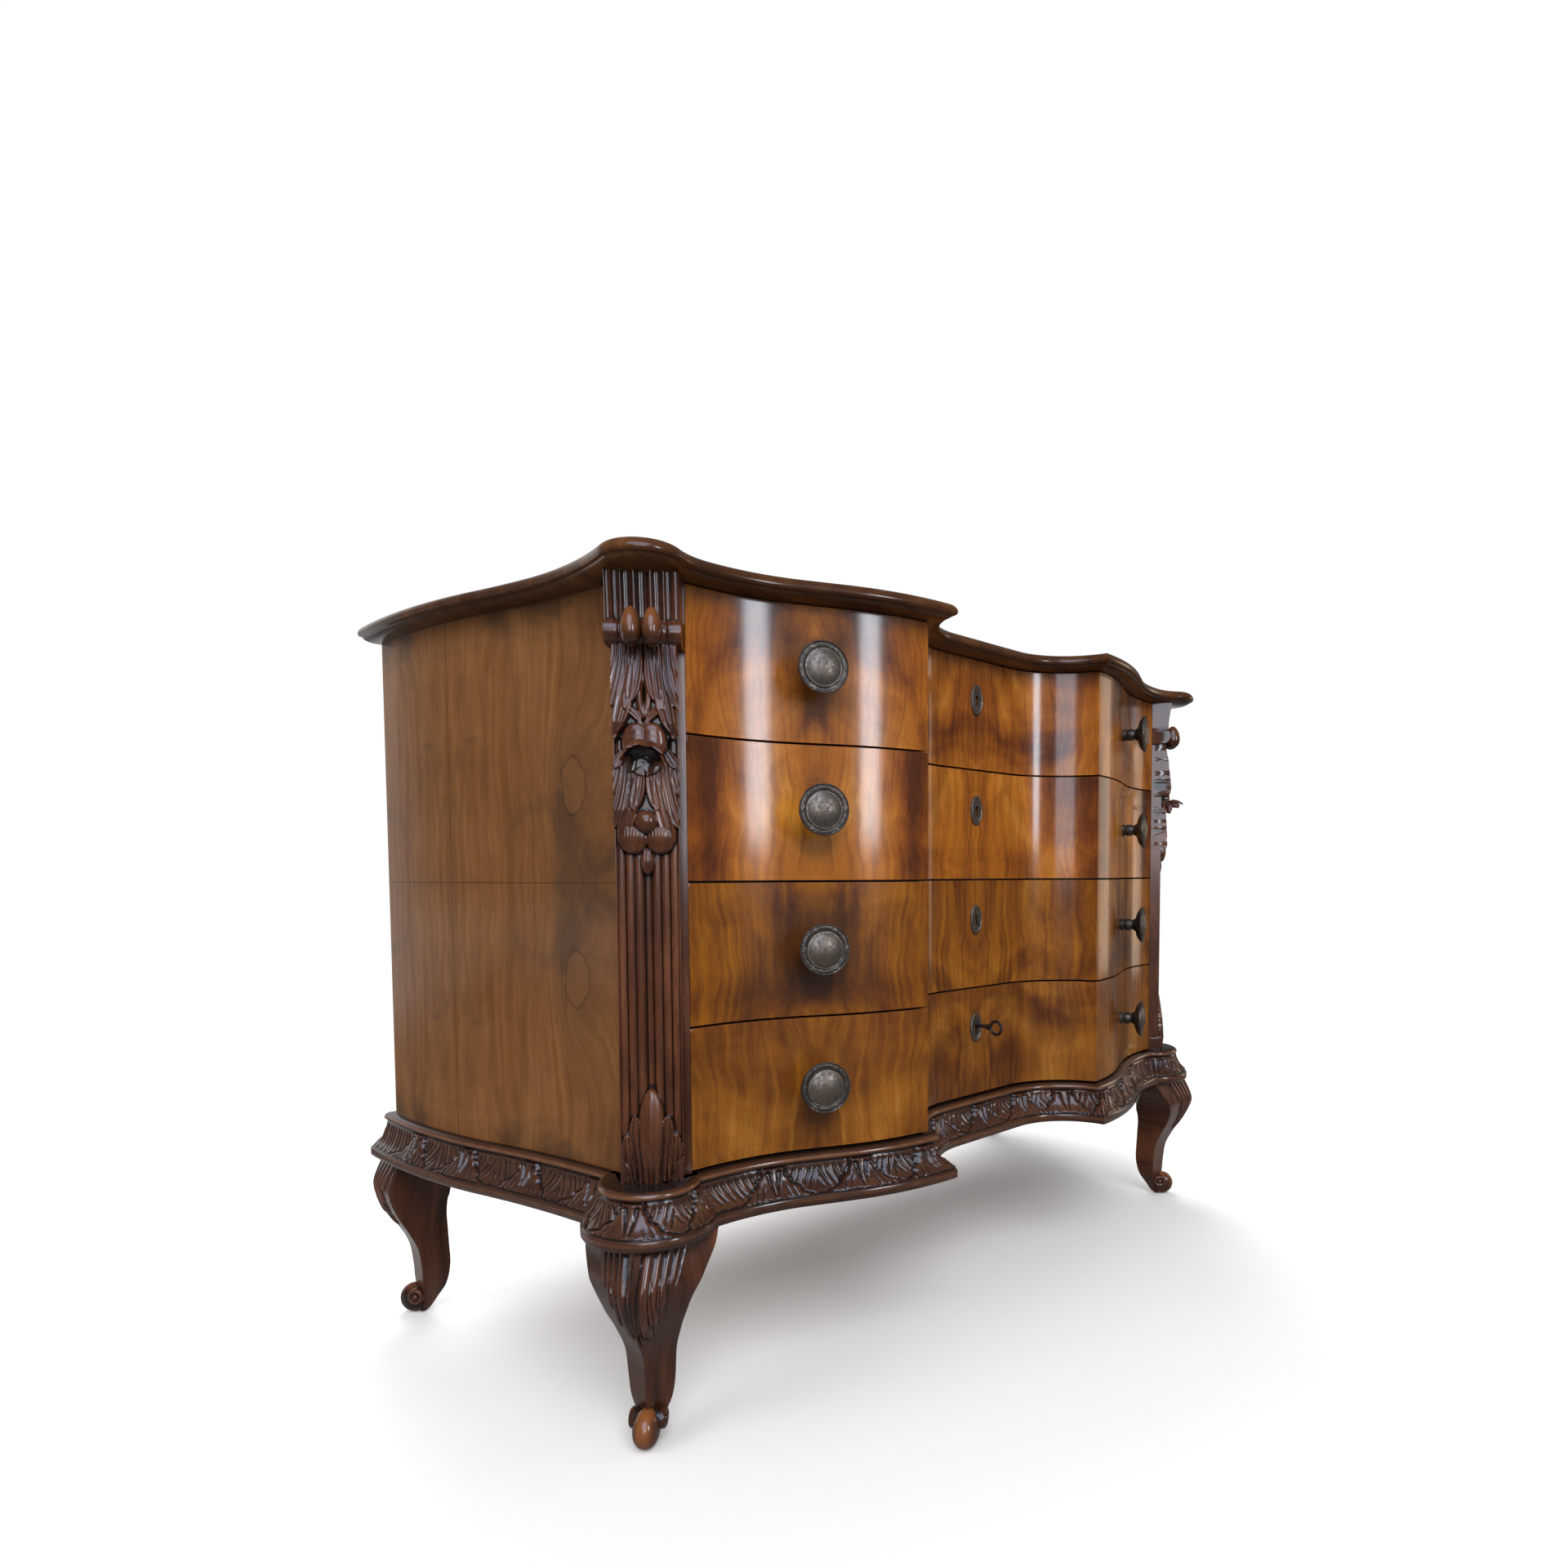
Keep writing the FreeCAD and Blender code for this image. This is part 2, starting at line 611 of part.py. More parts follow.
def knob(number):
    """Right knob: a turned mushroom with a dished ring and a domed middle, square to the straight run."""
    seat = HOLLOW_FIRST + polar((HOLLOW_FIRST.x - KNOB_X) / math.cos(math.radians(SWEEP)), SWEEP + 180)
    stem = [Vector(0, 0, -KNOB_STUD), Vector(KNOB_STUD_R, 0, -KNOB_STUD), Vector(KNOB_STUD_R, 0, 0.3),
            Vector(9, 0, 0.3), Vector(9, 0, 3), Vector(7, 0, 8), Vector(7, 0, 18), Vector(11, 0, 22)]
    rim = [Vector(11, 0, 22), Vector(20, 0, 24.5), Vector(28, 0, 30)]
    ring = [Vector(28, 0, 30), Vector(27.5, 0, 32.5), Vector(20.5, 0, 35.5), Vector(20, 0, 34.5)]
    dome = dome_arc(20, 34.5, 40)
    shape = lathe([Part.makePolygon(stem), Part.Arc(*rim).toShape(), Part.makePolygon(ring),
                   Part.Arc(*dome).toShape(), Part.makeLine(dome[-1], stem[0])])
    shape.rotate(Vector(0, 0, 0), Vector(1, 0, 0), 90)
    shape.rotate(Vector(0, 0, 0), Vector(0, 0, 1), SWEEP)
    shape.translate(seat + Vector(0, 0, bay(number) + KNOB_Z))
    return shape


def drawer_front(number):
    end = FACE_END - SIDE_PLAY
    half = front_half(0)
    half += joined(half[-1][-1], Vector(end, 0), Vector(end, FRONT_BACK))
    low = bay(number) + GAP / 2
    front = prism(both_halves(half), low, low + PITCH - GAP)
    sockets = tails(number)
    bores = [knob(number), mirror(knob(number)), keyhole(number, CENTRE_Y - 1, FRONT_BACK + 1)]
    return front.cut(sockets + [mirror(tail) for tail in sockets] + bores + [drawer_bottom(number)])


def escutcheon(number):
    z = bay(number) + KEY_Z - 3
    plate = Part.makeCylinder(1, PLATE, Vector(0, 0, 0), Vector(0, -1, 0))
    matrix = FreeCAD.Matrix()
    matrix.scale(PLATE_WIDE / 2, 1, PLATE_HIGH / 2)
    plate = plate.transformGeometry(matrix)
    plate.translate(Vector(0, CENTRE_Y, z))
    return plate.cut(keyhole(number, CENTRE_Y - 5, CENTRE_Y + 1))


def lock(number):
    low = bay(number) + LOCK_LOW
    high = bay(number) + BOX_TOP
    back = FRONT_BACK + LOCK_DEPTH
    case = block(-LOCK_HALF, LOCK_HALF, FRONT_BACK, back, low, high)
    inside = block(LOCK_WALL - LOCK_HALF, LOCK_HALF - LOCK_WALL, FRONT_BACK + LOCK_WALL, back - LOCK_WALL,
                   low + LOCK_WALL, high - LOCK_WALL)
    slot = bolt_mortise(high - LOCK_WALL - 1)
    return case.cut([inside, slot, keyhole(number, FRONT_BACK - 1, FRONT_BACK + LOCK_WALL + 1)])


def bolt(number):
    """Sliding plate of the lock: a window for the key's bit and a tongue that rises into the rail above."""
    z = bay(number)
    front = FRONT_BACK + LOCK_DEPTH / 2 - BOLT_THICK / 2
    back = front + BOLT_THICK
    body = block(-BOLT_BODY, BOLT_BODY, front, back, z + 79.5, z + 113)
    window = block(-WINDOW_HALF, WINDOW_HALF, front - 1, back + 1, z + KEY_Z - 14, z + KEY_Z + 11)
    tongue = block(-BOLT_HALF, BOLT_HALF, front, back, z + 113, z + BOLT_TOP)
    return body.cut(window).fuse(tongue).removeSplitter()


def key(number):
    z = bay(number) + KEY_Z
    bow_y = CENTRE_Y - KEY_OUT - BOW_R
    end = FRONT_BACK + LOCK_DEPTH - LOCK_WALL - 0.5
    start = bow_y + BOW_R
    shank = rod(KEY_R, end - start, Vector(0, start, z), Vector(0, 1, 0))
    collar = rod(KEY_R + 1.2, 3, Vector(0, start + 4, z), Vector(0, 1, 0))
    bit = block(-BIT_THICK / 2, BIT_THICK / 2, FRONT_BACK + LOCK_WALL + 1, end, z - BIT, z)
    bow = Part.makeTorus(BOW_R, BOW_WIRE, Vector(0, bow_y, z), Vector(1, 0, 0))
    return shank.fuse([collar, bit, bow])


# Saving every piece under its own name

def save_pair(name, shape):
    save("right_" + name, shape)
    save("left_" + name, mirror(shape))


def save_case():
    save("top_board", top_board())
    save("base_front_rail", base_front())
    save("base_back_rail", base_back())
    save("floor_board", floor_board())
    save("back_panel", back_panel())
    save("top_rail", top_rail())
    save("bottom_rail", rail(BASE_TOP, CASE_FLOOR + RAIL_OVER))
    save("divider_rails", *[divider(number) for number in range(1, DRAWERS)])
    for name, make in (("base_side_rail", base_side), ("corner_block", corner_block),
                       ("front_leg", front_leg), ("rear_leg", rear_leg), ("front_post", post),
                       ("post_carving", post_carving), ("side_panel", side_panel),
                       ("rear_stile", rear_stile)):
        save_pair(name, make())
    for name, strip in (("runners", runner), ("guides", guide)):
        right = [strip(number) for number in range(1, DRAWERS + 1)]
        save(name, *right, *[mirror(shape) for shape in right])


def save_drawer(number):
    name = "drawer_%d_" % number
    save(name + "front", drawer_front(number))
    save(name + "sides", drawer_side(number), mirror(drawer_side(number)))
    save(name + "back", drawer_back(number))
    save(name + "bottom", drawer_bottom(number))
    save(name + "knobs", knob(number), mirror(knob(number)))
    save(name + "escutcheon", escutcheon(number))
    save(name + "lock", lock(number))
    save(name + "bolt", bolt(number))


os.makedirs("parts", exist_ok=True)
save_case()
for drawer_number in range(1, DRAWERS + 1):
    save_drawer(drawer_number)
save("key", key(DRAWERS))
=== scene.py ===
# %% [markdown]
# A serpentine walnut commode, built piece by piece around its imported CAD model. The model is loaded first as
# a fixed frame: every new piece is made in the same place as the solid that it stands for. Shapes are worked
# out in millimetres in the maker's plan, where y = 0 is the line of the drawer ends, and moved into the
# frame last.

# %% Load the frame
import math

import bmesh
import bpy
import numpy as np
from mathutils import Matrix, Vector


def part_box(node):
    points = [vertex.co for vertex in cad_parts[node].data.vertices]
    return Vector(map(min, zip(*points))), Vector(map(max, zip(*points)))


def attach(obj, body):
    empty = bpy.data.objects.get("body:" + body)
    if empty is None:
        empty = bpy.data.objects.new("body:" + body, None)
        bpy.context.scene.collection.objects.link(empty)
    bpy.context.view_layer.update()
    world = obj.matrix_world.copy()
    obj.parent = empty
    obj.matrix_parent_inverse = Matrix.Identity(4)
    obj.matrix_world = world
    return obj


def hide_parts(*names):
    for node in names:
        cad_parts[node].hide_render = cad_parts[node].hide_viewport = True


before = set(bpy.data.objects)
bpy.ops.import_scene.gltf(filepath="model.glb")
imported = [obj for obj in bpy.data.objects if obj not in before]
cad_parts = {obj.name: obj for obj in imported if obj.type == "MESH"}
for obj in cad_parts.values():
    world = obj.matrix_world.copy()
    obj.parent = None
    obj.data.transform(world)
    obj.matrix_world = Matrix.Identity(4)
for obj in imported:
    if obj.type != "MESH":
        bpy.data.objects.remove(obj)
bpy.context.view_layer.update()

CASE_BACK = 478.0
MIDDLE_Y = CASE_BACK - 1000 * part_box("top_board")[1].y

# %% [markdown]
# Materials come first, because each piece is given its finish when it is made. A small helper places a
# shader node, sets it and wires it in one call, so that a finish reads as a short list of steps instead of a
# page of node names. Anything that is the same all over a surface stays on the shader's own socket.

# %% Node helpers
def wire(tree, target, value):
    if isinstance(value, bpy.types.NodeSocket):
        tree.links.new(value, target)
    else:
        target.default_value = value


def node(tree, kind, inputs=None, **settings):
    made = tree.nodes.new("ShaderNode" + kind)
    for name, value in settings.items():
        setattr(made, name, value)
    for socket, value in (inputs or {}).items():
        wire(tree, made.inputs[socket], value)
    return made


def math_node(tree, operation, *values):
    return node(tree, "Math", dict(enumerate(values)), operation=operation).outputs[0]


def times(tree, first, second):
    return math_node(tree, "MULTIPLY", first, second)


def minus(tree, first, second):
    return math_node(tree, "SUBTRACT", first, second)


def object_place(tree):
    return node(tree, "TexCoord").outputs["Object"]


def split(tree, vector):
    return node(tree, "SeparateXYZ", {0: vector}).outputs


def length_of(tree, first, second):
    """How far from nought a point is, given its two parts."""
    both = node(tree, "CombineXYZ", {0: first, 1: second}).outputs[0]
    return node(tree, "VectorMath", {0: both}, operation="LENGTH").outputs["Value"]


def opaque(colour):
    """A written colour with its fourth part. A socket stays as it is."""
    return (*colour, 1.0) if isinstance(colour, tuple) and len(colour) == 3 else colour


def blended(tree, factor, first, second, way="MIX"):
    colours = {0: factor, 6: opaque(first), 7: opaque(second)}
    return node(tree, "Mix", colours, data_type="RGBA", blend_type=way).outputs[2]


def ranged(tree, value, low, high, to_low=0.0, to_high=1.0):
    inputs = {0: value, 1: low, 2: high, 3: to_low, 4: to_high}
    return node(tree, "MapRange", inputs, interpolation_type="SMOOTHSTEP").outputs[0]


def noise(tree, vector, scale, detail=2.0, roughness=0.5, swirl=0.0):
    inputs = {"Vector": vector, "Scale": scale, "Detail": detail, "Roughness": roughness, "Distortion": swirl}
    return node(tree, "TexNoise", inputs).outputs["Fac"]


def ramp(tree, value, stops, way="LINEAR"):
    made = node(tree, "ValToRGB", {0: value})
    made.color_ramp.interpolation = way
    while len(made.color_ramp.elements) < len(stops):
        made.color_ramp.elements.new(1.0)
    for element, (place, colour) in zip(made.color_ramp.elements, stops):
        element.position = place
        element.color = (*colour, 1.0)
    return made.outputs[0]


def plain(red, green, blue):
    """A colour as a screen shows it, from 0 to 255, made linear for the shader."""
    return tuple((part / 255 / 12.92) if part <= 10 else ((part / 255 + 0.055) / 1.055) ** 2.4
                 for part in (red, green, blue))


def finish(name):
    """An empty material with its shader."""
    material = bpy.data.materials.new(name)
    material.use_nodes = True
    return material, material.node_tree, material.node_tree.nodes["Principled BSDF"]


def new_group(name, inputs, outputs):
    tree = bpy.data.node_groups.new(name, "ShaderNodeTree")
    for socket, kind in inputs:
        tree.interface.new_socket(socket, in_out="INPUT", socket_type="NodeSocket" + kind)
    for socket in outputs:
        tree.interface.new_socket(socket, in_out="OUTPUT", socket_type="NodeSocketFloat")
    return tree, tree.nodes.new("NodeGroupInput").outputs, tree.nodes.new("NodeGroupOutput").inputs


def place_group(tree, group, inputs):
    made = tree.nodes.new("ShaderNodeGroup")
    made.node_tree = group
    for socket, value in inputs.items():
        wire(tree, made.inputs[socket], value)
    return made.outputs


print("mid brown on a screen is", [round(part, 3) for part in plain(128, 71, 14)], "to the shader")

# %% [markdown]
# Walnut shows three things at once: a slow figure that wanders across the leaf of veneer, dark veins that
# follow it, and short open pores along the grain. One node group makes all three from a place on the wood,
# in metres, whose x runs across the grain and whose z runs along it. Each wood then picks its own scale and
# colours.

# %% Grain of walnut, shared by every wooden finish
GRAIN, given, put = new_group(
    "walnut_grain", [("Place", "Vector"), ("Across", "Float"), ("Along", "Float"), ("Warp", "Float")],
    ["Figure", "Vein", "Pore", "Cloud"])
warp = minus(GRAIN, noise(GRAIN, given["Place"], 7.0, 3.0), 0.5)
parts = split(GRAIN, given["Place"])
across = math_node(GRAIN, "MULTIPLY_ADD", warp, given["Warp"], parts["X"])
along = times(GRAIN, parts["Z"], given["Along"])
lines = node(GRAIN, "CombineXYZ", {0: times(GRAIN, across, given["Across"]),
                                   1: parts["Y"], 2: along}).outputs[0]
wide = node(GRAIN, "VectorMath", {0: lines, 1: (0.27, 1.0, 0.6)}, operation="MULTIPLY").outputs[0]
wire(GRAIN, put["Figure"], noise(GRAIN, lines, 1.0, 6.0, 0.62))
vein = math_node(GRAIN, "ABSOLUTE", minus(GRAIN, noise(GRAIN, wide, 1.0, 3.0), 0.5))
wire(GRAIN, put["Vein"], ranged(GRAIN, vein, 0.0, 0.05, 1.0, 0.0))
flecks = node(GRAIN, "VectorMath", {0: given["Place"], 1: (1500.0, 1.0, 70.0)},
              operation="MULTIPLY").outputs[0]
wire(GRAIN, put["Pore"], ranged(GRAIN, noise(GRAIN, flecks, 1.0, 1.0), 0.58, 0.72))
patches = node(GRAIN, "VectorMath", {0: given["Place"], 1: (7.5, 1.0, 5.5)}, operation="MULTIPLY").outputs[0]
wire(GRAIN, put["Cloud"], noise(GRAIN, patches, 1.0, 4.0, 0.55, 1.1))
print("group", GRAIN.name, [item.name for item in GRAIN.interface.items_tree])

# %% [markdown]
# Long handling leaves dirt in the hollows of carving and rubs the high places bare. The carved
# pieces carry a number at each point, "hollow": above nought it lies in a cut, below nought it stands on a
# ridge. This group breaks that number up with noise, so that dirt and rubbing look uneven. The darkening in
# the cuts is dirt and also painted shade, and the lighter colour on the ridges is wear and also a painted
# highlight.

# %% Dirt and painted shade in the cuts, wear and a painted highlight on the ridges, shared by the carved wood and the metal
WEAR_AND_PAINTED_LIGHT, given, put = new_group("age", [("Hollow", "Float"), ("Place", "Vector"), ("Amount", "Float")],
                            ["Dirt", "Rub"])
uneven = minus(WEAR_AND_PAINTED_LIGHT, noise(WEAR_AND_PAINTED_LIGHT, given["Place"], 60.0, 4.0), 0.5)
moved = math_node(WEAR_AND_PAINTED_LIGHT, "MULTIPLY_ADD", uneven, given["Amount"], given["Hollow"])
wire(WEAR_AND_PAINTED_LIGHT, put["Dirt"], ranged(WEAR_AND_PAINTED_LIGHT, moved, 0.02, 0.26))
wire(WEAR_AND_PAINTED_LIGHT, put["Rub"], ranged(WEAR_AND_PAINTED_LIGHT, moved, -0.16, -0.52))
print("group", WEAR_AND_PAINTED_LIGHT.name)

# %% [markdown]
# Three steps come back in every walnut finish: a clear coat of shellac or wax over the wood, colours laid
# over the figure with the veins and pores on top, and a trace of relief. Each is a short function, because a
# finish then differs from the next only in its numbers.

# %% Polish, colours and fine relief of wood
POLISH_IOR = 1.2


def polish(shader, coat, coat_roughness):
    """A weak shine of the wood itself under a clear coat."""
    shader.inputs["IOR"].default_value = POLISH_IOR
    shader.inputs["Coat Weight"].default_value = coat
    shader.inputs["Coat Roughness"].default_value = coat_roughness


def walnut_colour(tree, grain, stops, vein_colour, vein_share, pore_share, cloud_share=0.4):
    """Colours over a mixture of slow clouds and fine figure, with dark veins and pores on top."""
    mixed = node(tree, "Mix", {0: cloud_share, 2: grain["Figure"], 3: grain["Cloud"]}).outputs[0]
    colour = ramp(tree, mixed, stops)
    veined = times(tree, grain["Vein"], vein_share)
    colour = blended(tree, veined, colour, vein_colour)
    pores = times(tree, grain["Pore"], pore_share)
    return blended(tree, pores, colour, plain(30, 16, 9))


def fine_relief(tree, shader, height, strength, distance=0.0003):
    bump = node(tree, "Bump", {"Height": height, "Strength": strength, "Distance": distance})
    tree.links.new(bump.outputs[0], shader.inputs["Normal"])


print("polish with an index of", POLISH_IOR)

# %% [markdown]
# The drawer fronts wear the best veneer: warm, dark-clouded walnut with the grain upright, opened like a
# book at each knob and in the middle. The pattern follows the curve of the front, so the pieces carry a UV
# map whose u is the distance along the front, folded at each seam. Tone by height tells the four drawers
# apart, and the top edge of each front shows plain wood with its grain along the length.

# %% Veneer of the drawers
CASE_FLOOR = 269.0
PITCH = 150.0
KNOB_Z = 76.5
KNOB_SEAM = 358.7
DRAWER_LOWS = [0.0] + [(CASE_FLOOR + count * PITCH) / 1000 for count in (1, 2, 3)]
DRAWER_TINTS = ((0.72, 0.7, 0.9), (0.78, 0.74, 0.58), (0.98, 0.85, 0.78), (0.88, 0.76, 0.88))
KNOB_SHADES = (0.1, 0.65, 0.25, 0.6)
LYING_X = Matrix(((0, 1, 0), (0, 0, 1), (1, 0, 0))).to_euler()

VENEER, tree, shader = finish("figured_walnut_veneer")
unrolled = node(tree, "UVMap", uv_map="veneer").outputs[0]
flat_place = split(tree, unrolled)
on_leaf = node(tree, "CombineXYZ", {0: flat_place["X"], 2: flat_place["Y"]}).outputs[0]
grain = place_group(tree, GRAIN, {"Place": on_leaf, "Across": 120.0, "Along": 4.0, "Warp": 0.06})
stops = [(0.34, plain(84, 42, 10)), (0.43, plain(128, 71, 14)), (0.5, plain(158, 95, 20)),
         (0.57, plain(180, 114, 28)), (0.68, plain(204, 144, 54))]
colour = walnut_colour(tree, grain, stops, plain(62, 31, 12), 0.25, 0.3, 0.66)
spot = split(tree, object_place(tree))
tint = ramp(tree, spot["Z"], list(zip(DRAWER_LOWS, DRAWER_TINTS)), "CONSTANT")
colour = blended(tree, 1.0, colour, tint, "MULTIPLY")
drift = noise(tree, object_place(tree), 9.0, 5.0, 0.6, 1.2)
mottle = ramp(tree, drift, [(0.36, (0.6, 0.54, 0.48)), (0.52, (1.0, 1.0, 1.0))])
colour = blended(tree, 0.6, colour, mottle, "MULTIPLY")
print("leaves of veneer for the drawers:", len(tree.nodes), "nodes so far")

# %% Shade round the knobs, middle seam and top edge
LEAF_STEP = 2.0
off_seam = minus(tree, math_node(tree, "MODULO", flat_place["X"], LEAF_STEP), KNOB_SEAM / 1000)
in_bay = math_node(tree, "MODULO", minus(tree, spot["Z"], CASE_FLOOR / 1000), PITCH / 1000)
off_knob = minus(tree, in_bay, KNOB_Z / 1000)
from_knob = length_of(tree, off_seam, off_knob)
ragged = math_node(tree, "MULTIPLY_ADD", minus(tree, grain["Cloud"], 0.5), 0.22, from_knob)
shades = [(low, (shade,) * 3) for low, shade in zip(DRAWER_LOWS, KNOB_SHADES)]
level = ramp(tree, spot["Z"], shades, "CONSTANT")
shade = times(tree, ranged(tree, ragged, 0.015, 0.1, 1.0, 0.0), level)
colour = blended(tree, shade, colour, plain(44, 27, 21))
from_middle = math_node(tree, "ABSOLUTE", spot["X"])
seam = times(tree, ranged(tree, from_middle, 0.0, 0.0006, 1.0, 0.0), 0.5)
colour = blended(tree, seam, colour, plain(50, 26, 14))
lying = node(tree, "Mapping", {"Vector": object_place(tree), "Rotation": LYING_X}).outputs[0]
edge_grain = place_group(tree, GRAIN, {"Place": lying, "Across": 90.0, "Along": 3.0, "Warp": 0.02})
edge_stops = [(0.3, plain(92, 56, 28)), (0.7, plain(134, 90, 50))]
edge_wood = walnut_colour(tree, edge_grain, edge_stops, plain(70, 42, 22), 0.3, 0.3)
top_edge = ranged(tree, in_bay, (PITCH - 1.5) / 1000, (PITCH - 1.35) / 1000)
colour = blended(tree, top_edge, colour, edge_wood)
tree.links.new(colour, shader.inputs["Base Color"])
polish(shader, 0.7, 0.13)
tree.links.new(ranged(tree, grain["Figure"], 0.3, 0.7, 0.42, 0.34), shader.inputs["Roughness"])
figure_relief = times(tree, grain["Figure"], 0.3)
fine_relief(tree, shader, minus(tree, figure_relief, grain["Pore"]), 0.05)
print("finish", VENEER.name, len(tree.nodes), "nodes")

# %% [markdown]
# The sides are veneered in four matched leaves that mirror about one upright and one level seam, with an
# oval knot in each leaf. Folding the coordinates with an absolute value gives the matching for nothing, and
# the seams fall where the folds are.

# %% Veneer of the sides
SIDE_SEAM_Y = 0.115
SIDE_SEAM_Z = 0.568
KNOT = (0.2, 0.1035)
KNOT_R = 0.019

SIDE_VENEER, tree, shader = finish("matched_side_veneer")
spot = split(tree, object_place(tree))
leaf_x = math_node(tree, "ABSOLUTE", minus(tree, spot["Y"], SIDE_SEAM_Y))
leaf_z = math_node(tree, "ABSOLUTE", minus(tree, spot["Z"], SIDE_SEAM_Z))
knot_x = minus(tree, leaf_x, KNOT[0])
knot_z = times(tree, minus(tree, leaf_z, KNOT[1]), 0.6)
leaf_place = node(tree, "CombineXYZ", {0: leaf_x, 2: leaf_z}).outputs[0]
wobble = minus(tree, noise(tree, leaf_place, 55.0), 0.5)
reach = math_node(tree, "MULTIPLY_ADD", wobble, 0.014, length_of(tree, knot_x, knot_z))
near = ranged(tree, reach, 0.0, 0.08, 1.0, 0.0)
bowed = math_node(tree, "MULTIPLY_ADD", near, 0.05, leaf_x)
on_leaf = node(tree, "CombineXYZ", {0: bowed, 1: 4.0, 2: leaf_z}).outputs[0]
grain = place_group(tree, GRAIN, {"Place": on_leaf, "Across": 110.0, "Along": 5.0, "Warp": 0.04})
stops = [(0.32, plain(96, 58, 29)), (0.45, plain(116, 74, 39)), (0.55, plain(129, 85, 47)),
         (0.68, plain(144, 100, 59))]
colour = walnut_colour(tree, grain, stops, plain(88, 55, 31), 0.2, 0.25, 0.45)
slow = noise(tree, leaf_place, 8.5, 3.0, 0.55, 0.8)
cloud = times(tree, ranged(tree, slow, 0.52, 0.68), 0.75)
colour = blended(tree, cloud, colour, plain(76, 54, 36))
halo = times(tree, ranged(tree, reach, KNOT_R, 0.06, 1.0, 0.0), 0.35)
colour = blended(tree, halo, colour, plain(82, 57, 38))
inner = times(tree, ranged(tree, reach, KNOT_R - 0.004, KNOT_R, 1.0, 0.0), 0.3)
colour = blended(tree, inner, colour, plain(128, 86, 50))
from_ring = math_node(tree, "ABSOLUTE", minus(tree, reach, KNOT_R))
nearest_seam = math_node(tree, "MINIMUM", leaf_x, leaf_z)
ring_line = times(tree, ranged(tree, from_ring, 0.0003, 0.0018, 1.0, 0.0), 0.45)
lines = math_node(tree, "MAXIMUM", ring_line, ranged(tree, nearest_seam, 0.0002, 0.001, 0.75, 0.0))
colour = blended(tree, lines, colour, plain(58, 36, 22))
tree.links.new(colour, shader.inputs["Base Color"])
polish(shader, 0.25, 0.14)
tree.links.new(ranged(tree, grain["Figure"], 0.3, 0.7, 0.46, 0.38), shader.inputs["Roughness"])
fine_relief(tree, shader, minus(tree, grain["Figure"], grain["Pore"]), 0.06)
print("finish", SIDE_VENEER.name, "seams at", SIDE_SEAM_Y, SIDE_SEAM_Z)

# %% [markdown]
# The mouldings, posts and legs are solid walnut, darker than the veneer, waxed rather than polished, black
# in the cuts with dirt and painted shade, and golden brown where hands and feet have rubbed them, with a
# painted highlight laid on there too. The board of the top is the same wood, with its grain along the length
# and a higher polish. The material takes its cuts from the "hollow" attribute of each mesh, together with the
# painted light and shade that some pieces store there.

# %% Solid walnut: carved, and the top
UPRIGHT = (0.0, 0.0, 0.0)
ALONG_X = (0.0, math.radians(90), 0.0)
ALONG_Y = Matrix(((0, 0, 1), (1, 0, 0), (0, 1, 0))).to_euler()


def solid_walnut(name, turn, tones, rub_and_highlight_colour, coat, rough, cloud_share=0.35):
    material, tree, shader = finish(name)
    place = object_place(tree)
    turned = node(tree, "Mapping", {"Vector": place, "Rotation": turn}).outputs[0]
    grain = place_group(tree, GRAIN, {"Place": turned, "Across": 70.0, "Along": 5.0, "Warp": 0.03})
    hollow = node(tree, "Attribute", attribute_name="hollow").outputs["Fac"]
    age = place_group(tree, WEAR_AND_PAINTED_LIGHT, {"Hollow": hollow, "Place": place, "Amount": 0.22})
    stops = list(zip((0.34, 0.5, 0.66), tones))
    colour = walnut_colour(tree, grain, stops, plain(38, 19, 11), 0.3, 0.4, cloud_share)
    # Lighter colour where the hollow number is low: wear, and a painted highlight. Darker where it is high:
    # dirt, and painted shade.
    colour = blended(tree, times(tree, age["Rub"], 0.7), colour, rub_and_highlight_colour)
    colour = blended(tree, times(tree, age["Dirt"], 0.92), colour, plain(20, 12, 8))
    tree.links.new(colour, shader.inputs["Base Color"])
    polish(shader, coat, 0.16)
    tree.links.new(math_node(tree, "MULTIPLY_ADD", age["Dirt"], 0.3, rough), shader.inputs["Roughness"])
    fine_relief(tree, shader, minus(tree, grain["Figure"], grain["Pore"]), 0.1)
    return material


CARVED = solid_walnut("carved_walnut", UPRIGHT, (plain(46, 23, 13), plain(80, 44, 27), plain(114, 68, 43)),
                      plain(150, 92, 50), 0.8, 0.36)
MOULDED = solid_walnut("moulded_walnut", ALONG_X,
                       (plain(44, 25, 17), plain(68, 41, 28), plain(94, 60, 41)), plain(134, 88, 56),
                       0.9, 0.34)
TOP_WOOD = solid_walnut("polished_top_walnut", LYING_X,
                        (plain(48, 26, 13), plain(72, 42, 22), plain(102, 64, 35)), plain(140, 98, 60),
                        0.6, 0.3, 0.5)
print("finishes", CARVED.name, MOULDED.name, TOP_WOOD.name)

# %% [markdown]
# Inside, the case and the drawer boxes are softwood, left bare and gone brown with age. Knobs and key plates
# are cast bronze with a dark patina in the hollows and a grey shine on the high places, and the locks are
# plain steel.

